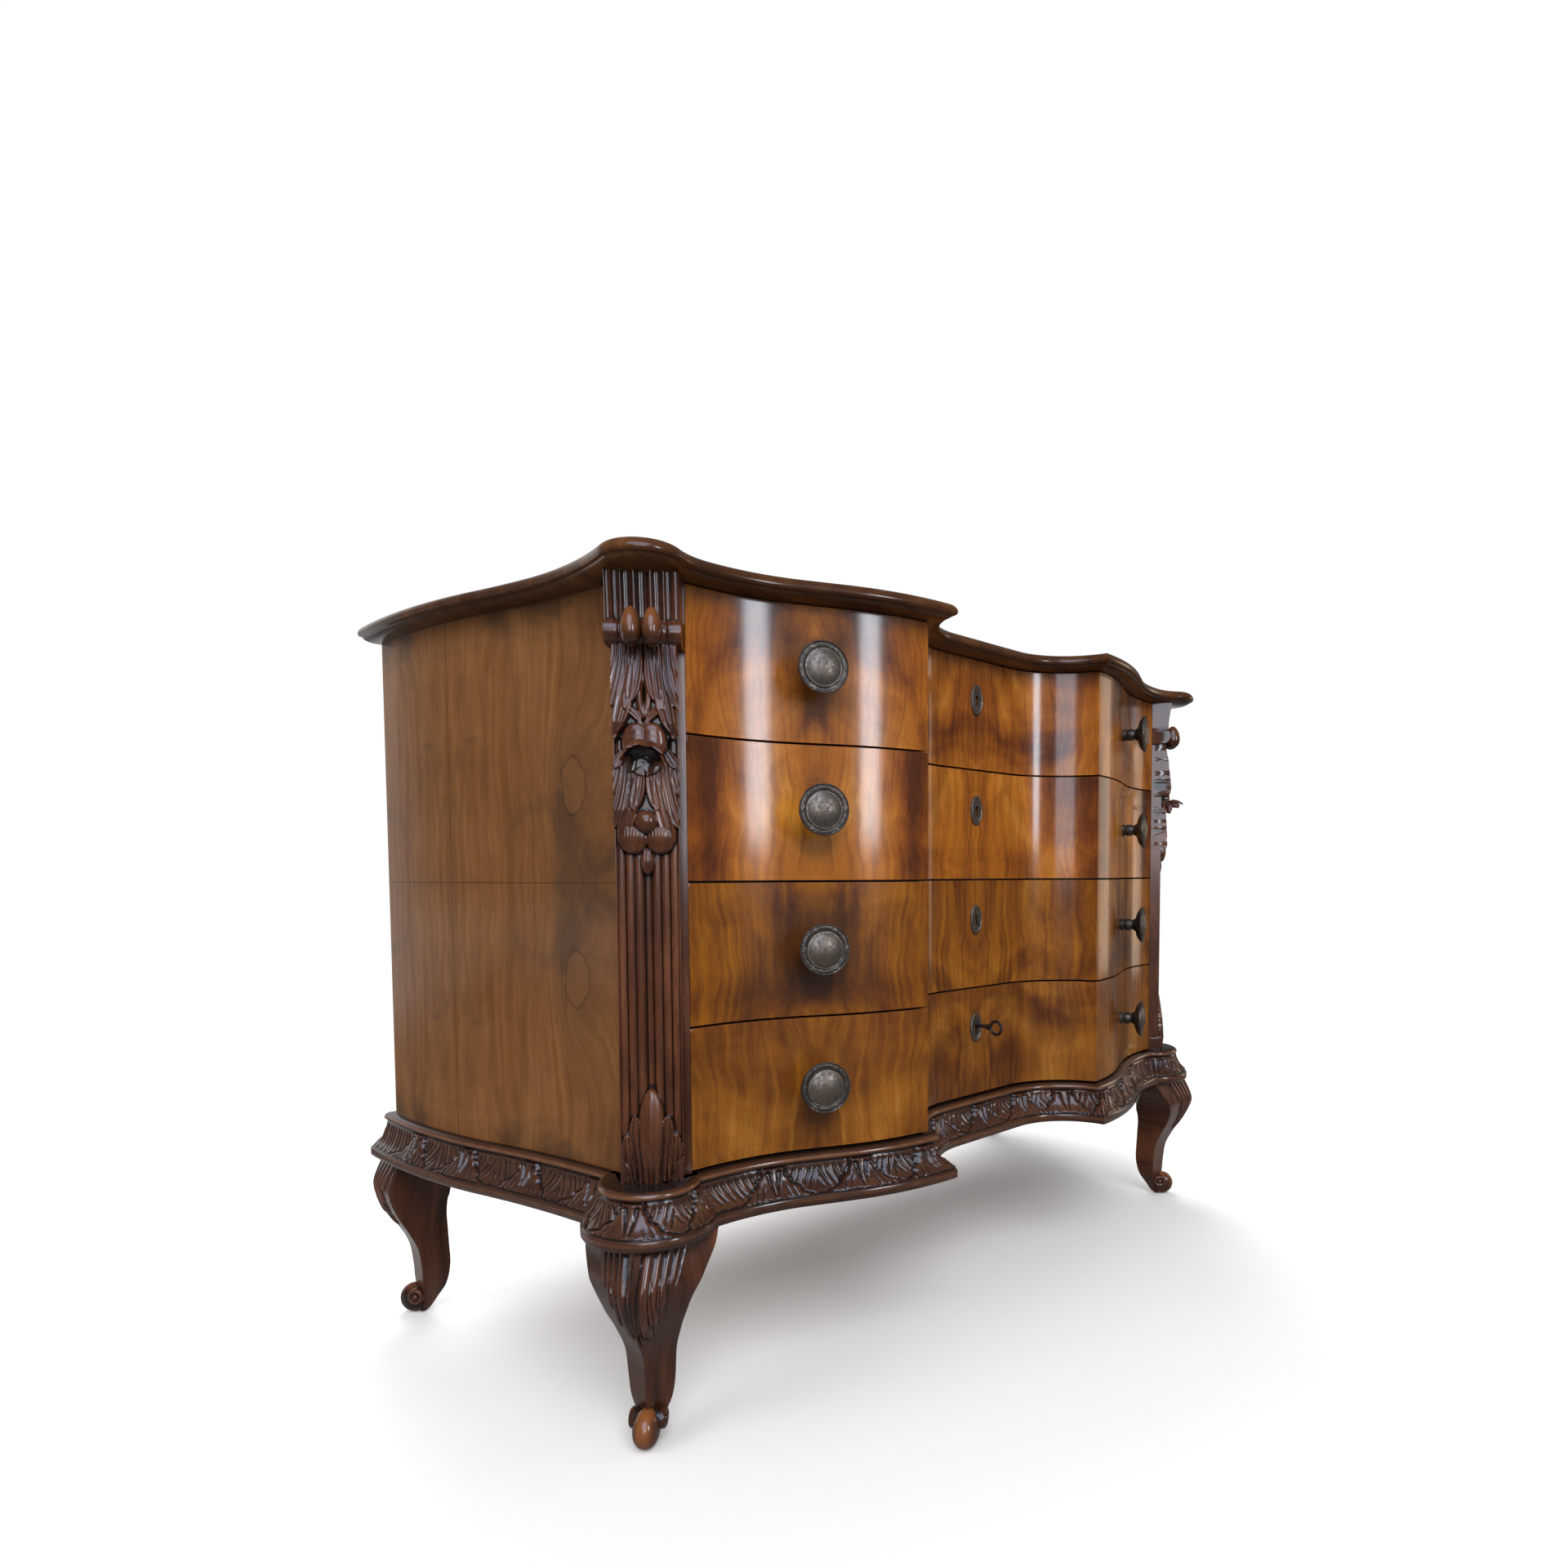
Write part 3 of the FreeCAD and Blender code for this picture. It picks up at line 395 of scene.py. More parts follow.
# %% Softwood, bronze and steel
def softwood(name, turn):
    material, tree, shader = finish(name)
    place = object_place(tree)
    turned = node(tree, "Mapping", {"Vector": place, "Rotation": turn}).outputs[0]
    grain = place_group(tree, GRAIN, {"Place": turned, "Across": 90.0, "Along": 2.0, "Warp": 0.02})
    stops = [(0.3, plain(118, 82, 50)), (0.5, plain(148, 108, 68)), (0.7, plain(172, 134, 90))]
    colour = walnut_colour(tree, grain, stops, plain(104, 68, 40), 0.5, 0.3)
    tree.links.new(colour, shader.inputs["Base Color"])
    shader.inputs["Roughness"].default_value = 0.7
    fine_relief(tree, shader, grain["Figure"], 0.2)
    return material


PINE = softwood("aged_softwood", ALONG_X)
PINE_FLAT = softwood("aged_softwood_lying", LYING_X)
PINE_DEEP = softwood("aged_softwood_front_to_back", ALONG_Y)


def metal(name, bright, dark, rough, hammered):
    material, tree, shader = finish(name)
    place = object_place(tree)
    hollow = node(tree, "Attribute", attribute_name="hollow").outputs["Fac"]
    age = place_group(tree, WEAR_AND_PAINTED_LIGHT, {"Hollow": hollow, "Place": place, "Amount": 0.5})
    patches = ranged(tree, noise(tree, place, 240.0, 5.0, 0.65), 0.35, 0.7)
    colour = blended(tree, patches, bright, dark)
    colour = blended(tree, times(tree, age["Dirt"], 0.6), colour, plain(34, 29, 27))
    colour = blended(tree, times(tree, age["Rub"], 0.4), colour, plain(150, 138, 118))
    tree.links.new(colour, shader.inputs["Base Color"])
    tree.links.new(ranged(tree, patches, 0.0, 1.0, rough, rough + 0.2), shader.inputs["Roughness"])
    shader.inputs["Metallic"].default_value = 0.7
    fine_relief(tree, shader, noise(tree, place, 420.0, 3.0), hammered, 0.0006)
    return material


BRONZE = metal("dark_bronze", plain(112, 101, 90), plain(78, 69, 64), 0.34, 0.22)
IRON = metal("dark_iron", plain(66, 60, 56), plain(38, 34, 33), 0.42, 0.2)
STEEL = metal("lock_steel", plain(150, 148, 144), plain(104, 100, 96), 0.35, 0.15)
print("finishes", PINE.name, BRONZE.name, IRON.name, STEEL.name)

# %% [markdown]
# Every piece ends the same way: its mesh is closed and turned the right way out, moved from the plan in
# millimetres to the frame in metres, shaded smooth between its sharp edges, and hung on the body it rides
# on, while the solids it stands for are hidden. A pair is built once, on the right, and mirrored.

# %% Finishing a piece
MM = 0.001
TO_FRAME = Matrix.Scale(MM, 4) @ Matrix.Translation((0.0, -MIDDLE_Y, 0.0))


def turn_by(bm, degrees, axis):
    bmesh.ops.rotate(bm, matrix=Matrix.Rotation(math.radians(degrees), 3, axis), verts=bm.verts)


def shift_by(bm, step):
    bmesh.ops.translate(bm, vec=step, verts=bm.verts)


def points_of(grown):
    """The new points among what an operator made."""
    return [each for each in grown if isinstance(each, bmesh.types.BMVert)]


def to_scene(name, bm):
    """Moves a finished shape into the frame and makes it an object."""
    bmesh.ops.recalc_face_normals(bm, faces=bm.faces)
    bmesh.ops.transform(bm, matrix=TO_FRAME, verts=bm.verts)
    mesh = bpy.data.meshes.new(name)
    bm.to_mesh(mesh)
    bm.free()
    made = bpy.data.objects.new(name, mesh)
    bpy.context.scene.collection.objects.link(made)
    return made


def piece(name, bm, material, body, slot, *nodes, sharp=40.0):
    made = to_scene(name, bm)
    made.data.shade_smooth()
    made.data.set_sharp_from_angle(angle=math.radians(sharp))
    made.data.materials.append(material)
    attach(made, body)
    if nodes:
        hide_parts(*nodes)
    print(name, len(made.data.vertices), "points")
    return made


def mirrored(bm):
    """A copy on the other side of the middle, turned the right way out."""
    other = bm.copy()
    bmesh.ops.scale(other, vec=(-1.0, 1.0, 1.0), verts=other.verts)
    bmesh.ops.reverse_faces(other, faces=other.faces)
    return other


def add_to(bm, other):
    """Puts one shape into another."""
    mesh = bpy.data.meshes.new("part")
    other.to_mesh(mesh)
    other.free()
    bm.from_mesh(mesh)
    bpy.data.meshes.remove(mesh)


def pair(name, bm, material, body, slot, *nodes, sharp=40.0):
    """The right piece, and the left one as its mirror image."""
    other = mirrored(bm)
    piece("right_" + name, bm, material, body, slot, *["right_" + each for each in nodes], sharp=sharp)
    piece("left_" + name, other, material, body, slot, *["left_" + each for each in nodes], sharp=sharp)


print("plan to frame:", MM, "metres to a unit, back by", round(MIDDLE_Y, 2))

# %% [markdown]
# Most of the commode is one line swept along another: a moulding runs round the plan of the case, a side
# panel follows the side. A grid has two directions too, so each of these starts as a flat grid. Its columns
# are laid along the plan and its rows along the profile. The plan is a run of arcs and straights, and each
# takes a whole number of columns, so that a sharp arris always has a column of its own.

# %% The plan of the front
MIDDLE_FACE_Y = 6.5792
FACE_END = 462.0
HOLLOW_C = (448.0, -280.0)
HOLLOW_R = 280.0
SWEEP = 24.0
SWELL_C = (147.906, 276.010)
SWELL_R = 350.0
NICHE_C = (68.689, -113.421)
NICHE_R = 120.0
FRONT_LENGTHS = (68.7, 146.6, 113.0, 48.0, 117.3, 14.0)


def on_arc(centre, radius, start, end, share):
    angle = np.radians(start + (end - start) * share)
    return centre[0] + radius * np.cos(angle), centre[1] + radius * np.sin(angle)


def bearing(centre, x, y):
    return np.degrees(np.arctan2(y - centre[1], x - centre[0]))


def arris(out):
    """The sharp point between niche and swell, on the outline moved out."""
    line = np.subtract(SWELL_C, NICHE_C)
    far = np.hypot(*line)
    along = ((NICHE_R - out) ** 2 - (SWELL_R + out) ** 2 + far ** 2) / (2 * far)
    side = np.sqrt((NICHE_R - out) ** 2 - along ** 2)
    x = NICHE_C[0] + (along * line[0] + side * line[1]) / far
    y = NICHE_C[1] + (along * line[1] - side * line[0]) / far
    return x, y


def middle_flat(share, out):
    return NICHE_C[0] * share, NICHE_C[1] + NICHE_R - out


def niche(share, out):
    return on_arc(NICHE_C, NICHE_R - out, 90.0, bearing(NICHE_C, *arris(out)), share)


def swell(share, out):
    return on_arc(SWELL_C, SWELL_R + out, bearing(SWELL_C, *arris(out)), SWEEP - 90, share)


def hollow_to(end):
    def hollow(share, out):
        return on_arc(HOLLOW_C, HOLLOW_R - out, SWEEP + 90, end, share)
    return hollow


def straight(share, out):
    x0, y0 = swell(1.0, out)
    x1, y1 = hollow_to(90.0)(0.0, out)
    return x0 + (x1 - x0) * share, y0 + (y1 - y0) * share


def ending_at(x_end):
    def flat_end(share, out):
        return HOLLOW_C[0] + (x_end - HOLLOW_C[0]) * share, -out
    return flat_end


def follow(run, column, out):
    """Plan points of columns along a run, whose pieces are a number of columns and a rule each."""
    x = np.zeros(len(out))
    y = np.zeros(len(out))
    first = 0
    for count, rule in run:
        here = (column >= first) & (column <= first + count)
        x[here], y[here] = rule((column[here] - first) / count, out[here])
        first += count
    return x, y


def half_front(end_rule, fine):
    """The right half of the front: columns of about a given length in each part."""
    rules = (middle_flat, niche, swell, straight, hollow_to(90.0), end_rule)
    return [(max(2, round(length / fine)), rule) for length, rule in zip(FRONT_LENGTHS, rules)]


def columns_of(run):
    return sum(count for count, rule in run)


print("arris at", [round(float(v), 2) for v in arris(np.array(0.0))])

# %% [markdown]
# A flat grid from one operator gives clean rows of four-sided faces. These helpers read the column and row
# of each point, bend the grid into place, and store numbers on its points. A carving is first an array of
# heights, because its cuts can then be found by comparing each height with those around it.

# %% Grids that are bent into shape
def grid(columns, rows):
    """A flat grid whose x counts columns and whose y counts rows."""
    bm = bmesh.new()
    bmesh.ops.create_grid(bm, x_segments=columns, y_segments=rows, size=0.5)
    shift_by(bm, (0.5, 0.5, 0.0))
    bmesh.ops.scale(bm, vec=(columns, rows, 1.0), verts=bm.verts)
    assert len(bm.verts) == (columns + 1) * (rows + 1)
    return bm


def counts(bm):
    """Column and row of every point, as whole numbers."""
    places = np.array([vert.co[:2] for vert in bm.verts])
    return np.rint(places).astype(int).T


def move(bm, x, y, z):
    for vert, place in zip(bm.verts, np.column_stack(np.broadcast_arrays(x, y, z)).tolist()):
        vert.co = place


def mark(bm, name, values):
    """A number at every point, for a material to read."""
    layer = bm.verts.layers.float.new(name)
    for vert, value in zip(bm.verts, values.tolist()):
        vert[layer] = value


def close(bm):
    """Joins a grid's meeting edges and fills the ends that are left open."""
    bmesh.ops.remove_doubles(bm, verts=bm.verts, dist=0.02)
    bmesh.ops.holes_fill(bm, edges=[edge for edge in bm.edges if edge.is_boundary])


def rounded(points, steps, corners=()):
    """A smooth line through a profile's points, with the named ones left as corners."""
    points = np.array(points, float)
    slope = np.gradient(points, axis=0)
    line = []
    for first in range(len(points) - 1):
        a, b = points[first], points[first + 1]
        ta = b - a if first in corners else slope[first]
        tb = b - a if first + 1 in corners else slope[first + 1]
        for step in range(steps):
            t = step / steps
            line.append((2 * t ** 3 - 3 * t ** 2 + 1) * a + (t ** 3 - 2 * t ** 2 + t) * ta
                        + (3 * t ** 2 - 2 * t ** 3) * b + (t ** 3 - t ** 2) * tb)
    return np.array(line + [points[-1]])


def bump_up(edge, value):
    """Smooth step from 0 to 1 over the first edge of a value."""
    share = np.clip(value / edge, 0.0, 1.0)
    return share * share * (3 - 2 * share)


def cuts_of(height, near=2.2):
    """How deep each point of a height map lies below its surroundings: 0.5 in a cut, -0.2 on a ridge."""
    around = height.copy()
    for turn in range(6):
        padded = np.pad(around, 1, mode="edge")
        around = (padded[:-2, 1:-1] + padded[2:, 1:-1] + padded[1:-1, :-2] + padded[1:-1, 2:] + around) / 5
    return np.clip((around - height) / near, -0.2, 0.5)


print("profile helper gives", len(rounded([(0, 0), (1, 0), (1, 1)], 4)), "points for 3")

# %% [markdown]
# The four drawer fronts are cut from one serpentine curve. Each starts as a grid laid along it, is extruded
# back to a flat rear face, and its front edges get a small bevel for the thin lipping that catches the
# light. The keyhole is cut with a Boolean, since it goes right through. The folded distance along the curve
# is kept as a UV map.

# %% Drawer fronts
GAP = 2.5
SIDE_PLAY = 0.8
FRONT_BACK = 28.0
LIPPING = 0.7
KEY_Z = 97.6
KEYHOLE_R = 3.2
KEYHOLE_HALF = 2.0
KEYHOLE_DROP = 11.0
FRONT_ROWS = 30
DRAWERS = (1, 2, 3, 4)


def bay(number):
    return CASE_FLOOR + (4 - number) * PITCH


def arc_length(x, y):
    return np.concatenate(([0.0], np.cumsum(np.hypot(np.diff(x), np.diff(y)))))


def keyhole(front, back, z):
    """A round hole with a slot below it, as a solid from front to back."""
    bm = bmesh.new()
    ring = bmesh.ops.create_circle(bm, segments=32, radius=KEYHOLE_R, cap_ends=True)["verts"]
    for vert in ring:
        if vert.co.y < -KEYHOLE_HALF:
            vert.co = (math.copysign(KEYHOLE_HALF, vert.co.x), -KEYHOLE_DROP, 0.0)
    bmesh.ops.remove_doubles(bm, verts=bm.verts, dist=0.01)
    turn_by(bm, 90, "X")
    shift_by(bm, (0.0, front, z))
    grown = bmesh.ops.extrude_face_region(bm, geom=list(bm.faces))["geom"]
    bmesh.ops.translate(bm, vec=(0.0, back - front, 0.0), verts=points_of(grown))
    return bm


def cut_away(target, cutter):
    """Cuts one piece from another and throws the cutter away."""
    modifier = target.modifiers.new("cut", "BOOLEAN")
    modifier.object = cutter
    modifier.solver = "EXACT"
    seen = bpy.context.evaluated_depsgraph_get()
    result = bpy.data.meshes.new_from_object(target.evaluated_get(seen))
    target.modifiers.remove(modifier)
    target.data = result
    bpy.data.objects.remove(cutter)


def drawer_front(number):
    run = half_front(ending_at(FACE_END - SIDE_PLAY), 4.0)
    half = columns_of(run)
    bm = grid(2 * half, FRONT_ROWS)
    column, row = counts(bm)
    x, y = follow(run, np.abs(column - half), np.zeros(len(column)))
    z = bay(number) + GAP / 2 + (PITCH - GAP) * row / FRONT_ROWS
    sample = follow(run, np.arange(half + 1), np.zeros(half + 1))
    along = arc_length(*sample)[np.abs(column - half)]
    folded = KNOB_SEAM - np.abs(along - KNOB_SEAM)
    move(bm, np.sign(column - half) * x, y, z)
    veneer = bm.loops.layers.uv.new("veneer")
    bm.verts.index_update()
    for face in bm.faces:
        for loop in face.loops:
            here = loop.vert.index
            loop[veneer].uv = (folded[here] * MM + 2.0 * number, z[here] * MM)
    rim = [edge for edge in bm.edges if edge.is_boundary]
    grown = bmesh.ops.extrude_face_region(bm, geom=list(bm.faces))["geom"]
    for vert in points_of(grown):
        vert.co.y = FRONT_BACK
    bmesh.ops.bevel(bm, geom=rim, offset=LIPPING, offset_type="OFFSET", affect="EDGES", segments=2,
                    profile=0.5, material=-1)
    name = "drawer_%d_front" % number
    made = piece("veneered_" + name, bm, VENEER, "drawer_%d" % number, "walnut_veneer", name, sharp=30.0)
    cutter = to_scene("keyhole_cutter", keyhole(-20.0, 60.0, bay(number) + KEY_Z))
    bpy.context.view_layer.update()
    cut_away(made, cutter)
    print("  keyhole cut:", len(made.data.vertices), "points")


for drawer in DRAWERS:
    drawer_front(drawer)

# %% [markdown]
# A closed profile swept along a run makes the side panels, the base rails and the round corner blocks alike.
# The grid's last row meets its first, the two are merged, and open ends are filled. A carving, given as a
# height over the length and the profile, pushes the moulding out as it is made, so the leaves are real
# geometry.

# %% Sweeping a profile along a run
BASE_TOP = 267.0
TOP_UNDER = 869.0
# Height, width and amount of each mark on the base: wear and a painted highlight on the bead and lip, painted
# shade in the creases.
WEAR_LIGHT_AND_SHADE_LEVELS = [(262.5, 3.2, -0.42), (222.0, 4.0, -0.32), (257.0, 1.2, 0.4), (227.2, 1.3, 0.35)]
CARVED_OUT = 15.0
BESIDE_POST = 6.5


def wear_light_and_shade(z):
    """Marks of the base by height: lighter on the bead and the lip for wear and a painted highlight, darker in
    the creases beside them as painted shade.
    """
    return sum(much * np.exp(-((z - level) / wide) ** 2) for level, wide, much in WEAR_LIGHT_AND_SHADE_LEVELS)


def swept(run, profile, carve=None, ring=False):
    columns = columns_of(run)
    rows = len(profile)
    bm = grid(columns, rows)
    column, row = counts(bm)
    loop = np.vstack((profile, profile[:1]))
    out = loop[row, 0]
    rise = loop[row, 1]
    if carve:
        edge = np.arange(columns + 1)
        along = arc_length(*follow(run, edge, np.full(columns + 1, CARVED_OUT)))
        height = carve(*np.meshgrid(along, loop[:, 1], indexing="ij"), along[-1])
        height[:, -1] = height[:, 0]
        # Painted shade on the flat top behind the bead, where the post and the case stand over it.
        painted_shade_behind_bead = 0.4 * ((rise > BASE_TOP - 1.0) & (out < BESIDE_POST))
        mark(bm, "hollow", np.clip(cuts_of(height)[column, row] + wear_light_and_shade(rise) + painted_shade_behind_bead, -0.5, 0.5))
        out = out + height[column, row]
    x, y = follow(run, column, out)
    move(bm, x, y, rise)
    if ring:
        bmesh.ops.remove_doubles(bm, verts=bm.verts, dist=0.02)
    else:
        close(bm)
    return bm


print("case between base and top:", TOP_UNDER - BASE_TOP, "mm")

# %% [markdown]
# A side panel is the plainest sweep: an upright strip that follows a hollow and a swell. It is a thin
# veneered board that starts behind the post and ends at the back, with enough levels to stay smooth in the
# light.

# %% Side panels
POST_EDGE = (514.0, 62.0)
SIDE_HOLLOW_R = 1276.0
SIDE_SWELL_R = 842.0
SIDE_START, SIDE_BEND = -10.5, -19.0
SIDE_HOLLOW_C = on_arc(POST_EDGE, SIDE_HOLLOW_R, SIDE_START, SIDE_START, 0.0)
SIDE_SWELL_C = on_arc(SIDE_HOLLOW_C, -SIDE_HOLLOW_R - SIDE_SWELL_R, SIDE_BEND, SIDE_BEND, 0.0)
PANEL_FRONT = 80.0
VENEER_FRONT = 49.0
PANEL_SEEN = 9.9


def side_hollow_from(first_y):
    def rule(share, out):
        start = 180 - np.degrees(np.arcsin((first_y - SIDE_HOLLOW_C[1]) / (SIDE_HOLLOW_R - out)))
        return on_arc(SIDE_HOLLOW_C, SIDE_HOLLOW_R - out, start, SIDE_BEND + 180, share)
    return rule


def side_swell_to(last_y):
    def rule(share, out):
        end = np.degrees(np.arcsin((last_y - SIDE_SWELL_C[1]) / (SIDE_SWELL_R + out)))
        return on_arc(SIDE_SWELL_C, SIDE_SWELL_R + out, SIDE_BEND, end, share)
    return rule


levels = np.linspace(BASE_TOP, TOP_UNDER, 25)
panel_profile = np.array([(0.0, z) for z in levels] + [(-PANEL_SEEN, TOP_UNDER), (-PANEL_SEEN, BASE_TOP)])
side_run = [(30, side_hollow_from(VENEER_FRONT)), (50, side_swell_to(CASE_BACK))]
pair("veneered_side", swept(side_run, panel_profile), SIDE_VENEER, "carcass", "walnut_veneer", "side_panel",
     sharp=30.0)

# %% [markdown]
# The base is a bold hollow moulding carved with bell-shaped leaves, a leaf about every hundred millimetres,
# and with short gouges that fan out between them. Each leaf is a formula of two numbers: how far along the
# band, and how high in it. The plain lip below and the bead above are part of the profile, not of the
# carving.

# %% Base moulding
LEG_HEIGHT = 215.0
BASE_OUTER = rounded([(26.5, 0), (27.5, 1.5), (27.5, 10), (26, 11.5)], 3, (0, 1, 2, 3))
BASE_BAND = rounded([(26, 11.5), (18.5, 18), (12.5, 25.5), (8.5, 34), (6.5, 42)], 8, (0, 4))
BASE_BEAD = rounded([(6.5, 42), (9.2, 44), (10.5, 47), (9.2, 50), (6, 52)], 4, (0, 4))
BAND_LOW = LEG_HEIGHT + 12.0
BAND_HIGH = LEG_HEIGHT + 42.0
BLOCK_R = 41.5
CORNER = (488.0, 31.0)
BLOCK_C = on_arc(CORNER, 12.0, -40.0, -40.0, 0.0)
BASE_BACK = 490.0
GOUGE = 8.4
SIDE_LEAVES = (62.0, 167.0, 272.0, 377.0)
FRONT_LEAVES = (0.0, 88.0, 157.0, 227.7, 320.7, 422.7)
BLOCK_LEAF = 92.0


def base_profile(inner):
    line = np.vstack((BASE_OUTER[:-1], BASE_BAND[:-1], BASE_BEAD))
    line = np.vstack(([(inner, 0.0)], line, [(inner, 52.0)]))
    return line + (0.0, LEG_HEIGHT)


def leaf_band(place, z, leaves):
    """Height of the carving at places along the band: bell leaves at given places, gouges between them."""
    v = np.clip((z - BAND_LOW) / (BAND_HIGH - BAND_LOW), 0.0, 1.0)
    inside = bump_up(0.05, v) * bump_up(0.06, 1.0 - v)
    nearest = leaves[np.argmin(np.abs(place[..., None] - leaves), axis=-1)]
    s = np.abs(place - nearest)
    ragged = 1.0 + 0.07 * np.sin(v * 21.0 + nearest)
    half = (12.0 + 29.0 * (1.0 - v) ** 2.3) * ragged
    leaf = bump_up(2.2, half - s)
    wedge = bump_up(1.6, 0.7 + 3.2 * v - np.abs(s - 1.5 - 6.0 * v))
    wedge = wedge * bump_up(0.12, 0.93 - v) * bump_up(0.1, v - 0.08)
    nicks = bump_up(1.2, 1.3 - np.abs(np.mod(s + 14.0 * v, 7.0) - 3.5))
    nicks = nicks * bump_up(6.0, s - 9.0) * bump_up(0.3, 0.55 - v)
    swell_up = 2.2 + 1.8 * np.clip(1.0 - s / 30.0, 0.0, 1.0)
    height = leaf * (swell_up - 3.6 * wedge - 1.4 * nicks)
    outline = bump_up(1.6, 2.4 - np.abs(half + 2.0 - s))
    turn = (s + 16.0 * (1.0 - v) ** 1.7) / GOUGE
    stroke = np.abs(np.sin(turn * math.pi))
    uneven = 0.65 + 0.35 * np.sin(np.floor(turn) * 2.4 + nearest)
    lens = bump_up(0.3, v - 0.06 * uneven) * bump_up(0.25, 0.97 - v)
    gouge = (1.0 - leaf) * (0.5 - 2.9 * uneven * (1.0 - stroke) ** 0.8 * lens - 1.9 * outline)
    scallop = -1.6 * (1.0 - bump_up(0.14, v)) * np.abs(np.sin(place * math.pi / 13.0))
    return inside * (height + gouge + scallop)


def side_band(place, z, length):
    return leaf_band(place, z, np.array(SIDE_LEAVES))


def front_band(place, z, length):
    return leaf_band(place, z, np.array(FRONT_LEAVES))


def block_band(place, z, length):
    """The corner block: a leaf on the diagonal and one on each side."""
    return leaf_band(place, z, length / 2 + np.array((-BLOCK_LEAF, 0.0, BLOCK_LEAF)))


front_rail = swept(half_front(ending_at(BLOCK_C[0]), 1.2), base_profile(-30.0), front_band, ring=True)
add_to(front_rail, mirrored(front_rail))
close(front_rail)
piece("carved_base_front", front_rail, MOULDED, "carcass", "carved_walnut", "base_front_rail", sharp=75.0)

rail_run = [(150, side_hollow_from(BLOCK_C[1])), (230, side_swell_to(BASE_BACK))]
pair("carved_base_side", swept(rail_run, base_profile(-36.0), side_band), MOULDED, "carcass", "carved_walnut",
     "base_side_rail", sharp=75.0)


def round_corner(share, out):
    return on_arc(BLOCK_C, BLOCK_R + out, -220.0, 140.0, share)


block = swept([(280, round_corner)], base_profile(-30.0), block_band, ring=True)
pair("carved_corner_block", block, MOULDED, "carcass", "carved_walnut", "corner_block", sharp=75.0)

# %% [markdown]
# The top is one board with the serpentine front, blunt noses over the posts and a moulded edge: a hollow, a
# small step and a round nose. It is a closed ring of columns round the whole outline, with the profile as
# its rows, and the two openings left in the middle are filled flat.

# %% Top board
TOP_LOWER = rounded([(9, 0), (15, 1), (20, 3), (22, 5.5)], 4, (0, 3))
TOP_UPPER = rounded([(25.5, 6), (27, 8.5), (26.6, 12), (24, 16), (20, 18.8), (14.5, 20)], 5, (0,))
TOP_LINE = np.vstack((TOP_LOWER, TOP_UPPER))
NOSE = (509.0, -1.0)
NOSE_R = 17.0
FRONT_BLEND = 100.0
SIDE_BLEND = 420.0


def circles_cross(centre_a, radius_a, centre_b, radius_b, near):
    line = np.subtract(centre_b, centre_a)
    far = np.hypot(*line)
    along = (radius_a ** 2 - radius_b ** 2 + far ** 2) / (2 * far)
    side = math.sqrt(radius_a ** 2 - along ** 2)
    across = side * np.array((-line[1], line[0]))
    spots = [np.add(centre_a, (along * line + way * across) / far) for way in (1, -1)]
    return min(spots, key=lambda spot: np.hypot(*(spot - near)))


BLEND_C = circles_cross(HOLLOW_C, HOLLOW_R - FRONT_BLEND, NOSE, NOSE_R + FRONT_BLEND, (HOLLOW_C[0], 0.0))
SIDE_BLEND_C = circles_cross(SIDE_HOLLOW_C, SIDE_HOLLOW_R - SIDE_BLEND, NOSE, NOSE_R + SIDE_BLEND,
                             2 * np.array(POST_EDGE))
FRONT_END = float(bearing(HOLLOW_C, *BLEND_C))
NOSE_FRONT = float(bearing(NOSE, *BLEND_C))
NOSE_SIDE = float(bearing(NOSE, *SIDE_BLEND_C))
SIDE_FIRST = float(bearing(SIDE_HOLLOW_C, *SIDE_BLEND_C)) % 360


def short_way(start, end):
    return start + (end - start + 180) % 360 - 180


def front_blend(share, out):
    return on_arc(BLEND_C, FRONT_BLEND - out, FRONT_END, short_way(FRONT_END, NOSE_FRONT + 180), share)


def nose(share, out):
    return on_arc(NOSE, NOSE_R + out, NOSE_FRONT, short_way(NOSE_FRONT, NOSE_SIDE), share)


def side_blend(share, out):
    start = NOSE_SIDE + 180
    return on_arc(SIDE_BLEND_C, SIDE_BLEND - out, start, short_way(start, SIDE_FIRST), share)


def side_hollow_after(share, out):
    return on_arc(SIDE_HOLLOW_C, SIDE_HOLLOW_R - out, SIDE_FIRST, SIDE_BEND + 180, share)


def back_line(share, out):
    end_x, end_y = side_swell_to(CASE_BACK)(1.0, out)
    return end_x * (1.0 - share), CASE_BACK


half_top = [(17, middle_flat), (48, niche), (36, swell), (14, straight), (34, hollow_to(FRONT_END)),
            (12, front_blend), (30, nose), (14, side_blend), (26, side_hollow_after),
            (60, side_swell_to(CASE_BACK)),
            (60, back_line)]
half = columns_of(half_top)
top = grid(2 * half, len(TOP_LINE) - 1)
column, row = counts(top)
x, y = follow(half_top, np.abs(column - half), TOP_LINE[row, 0])
move(top, np.where(column < half, -x, x), y, TOP_UNDER + TOP_LINE[row, 1])
close(top)
piece("moulded_top", top, TOP_WOOD, "carcass", "walnut_veneer", "top_board", sharp=35.0)

# %% [markdown]
# Each front corner is a canted post, reeded like a bundle of rods and laid with a hanging carving: a fluted
# corbel and a roll with two eggs, acanthus leaves, an open flower, more leaves, a berry and a drop. At the
# foot an upright leaf grows from the base. A carver works such relief from one flat face, and so does this
# cell: the face is a fine grid, and the carving is the greatest of many small heights, one for each lobe.
# The right half is described once, because the design is the same on both sides of its middle.

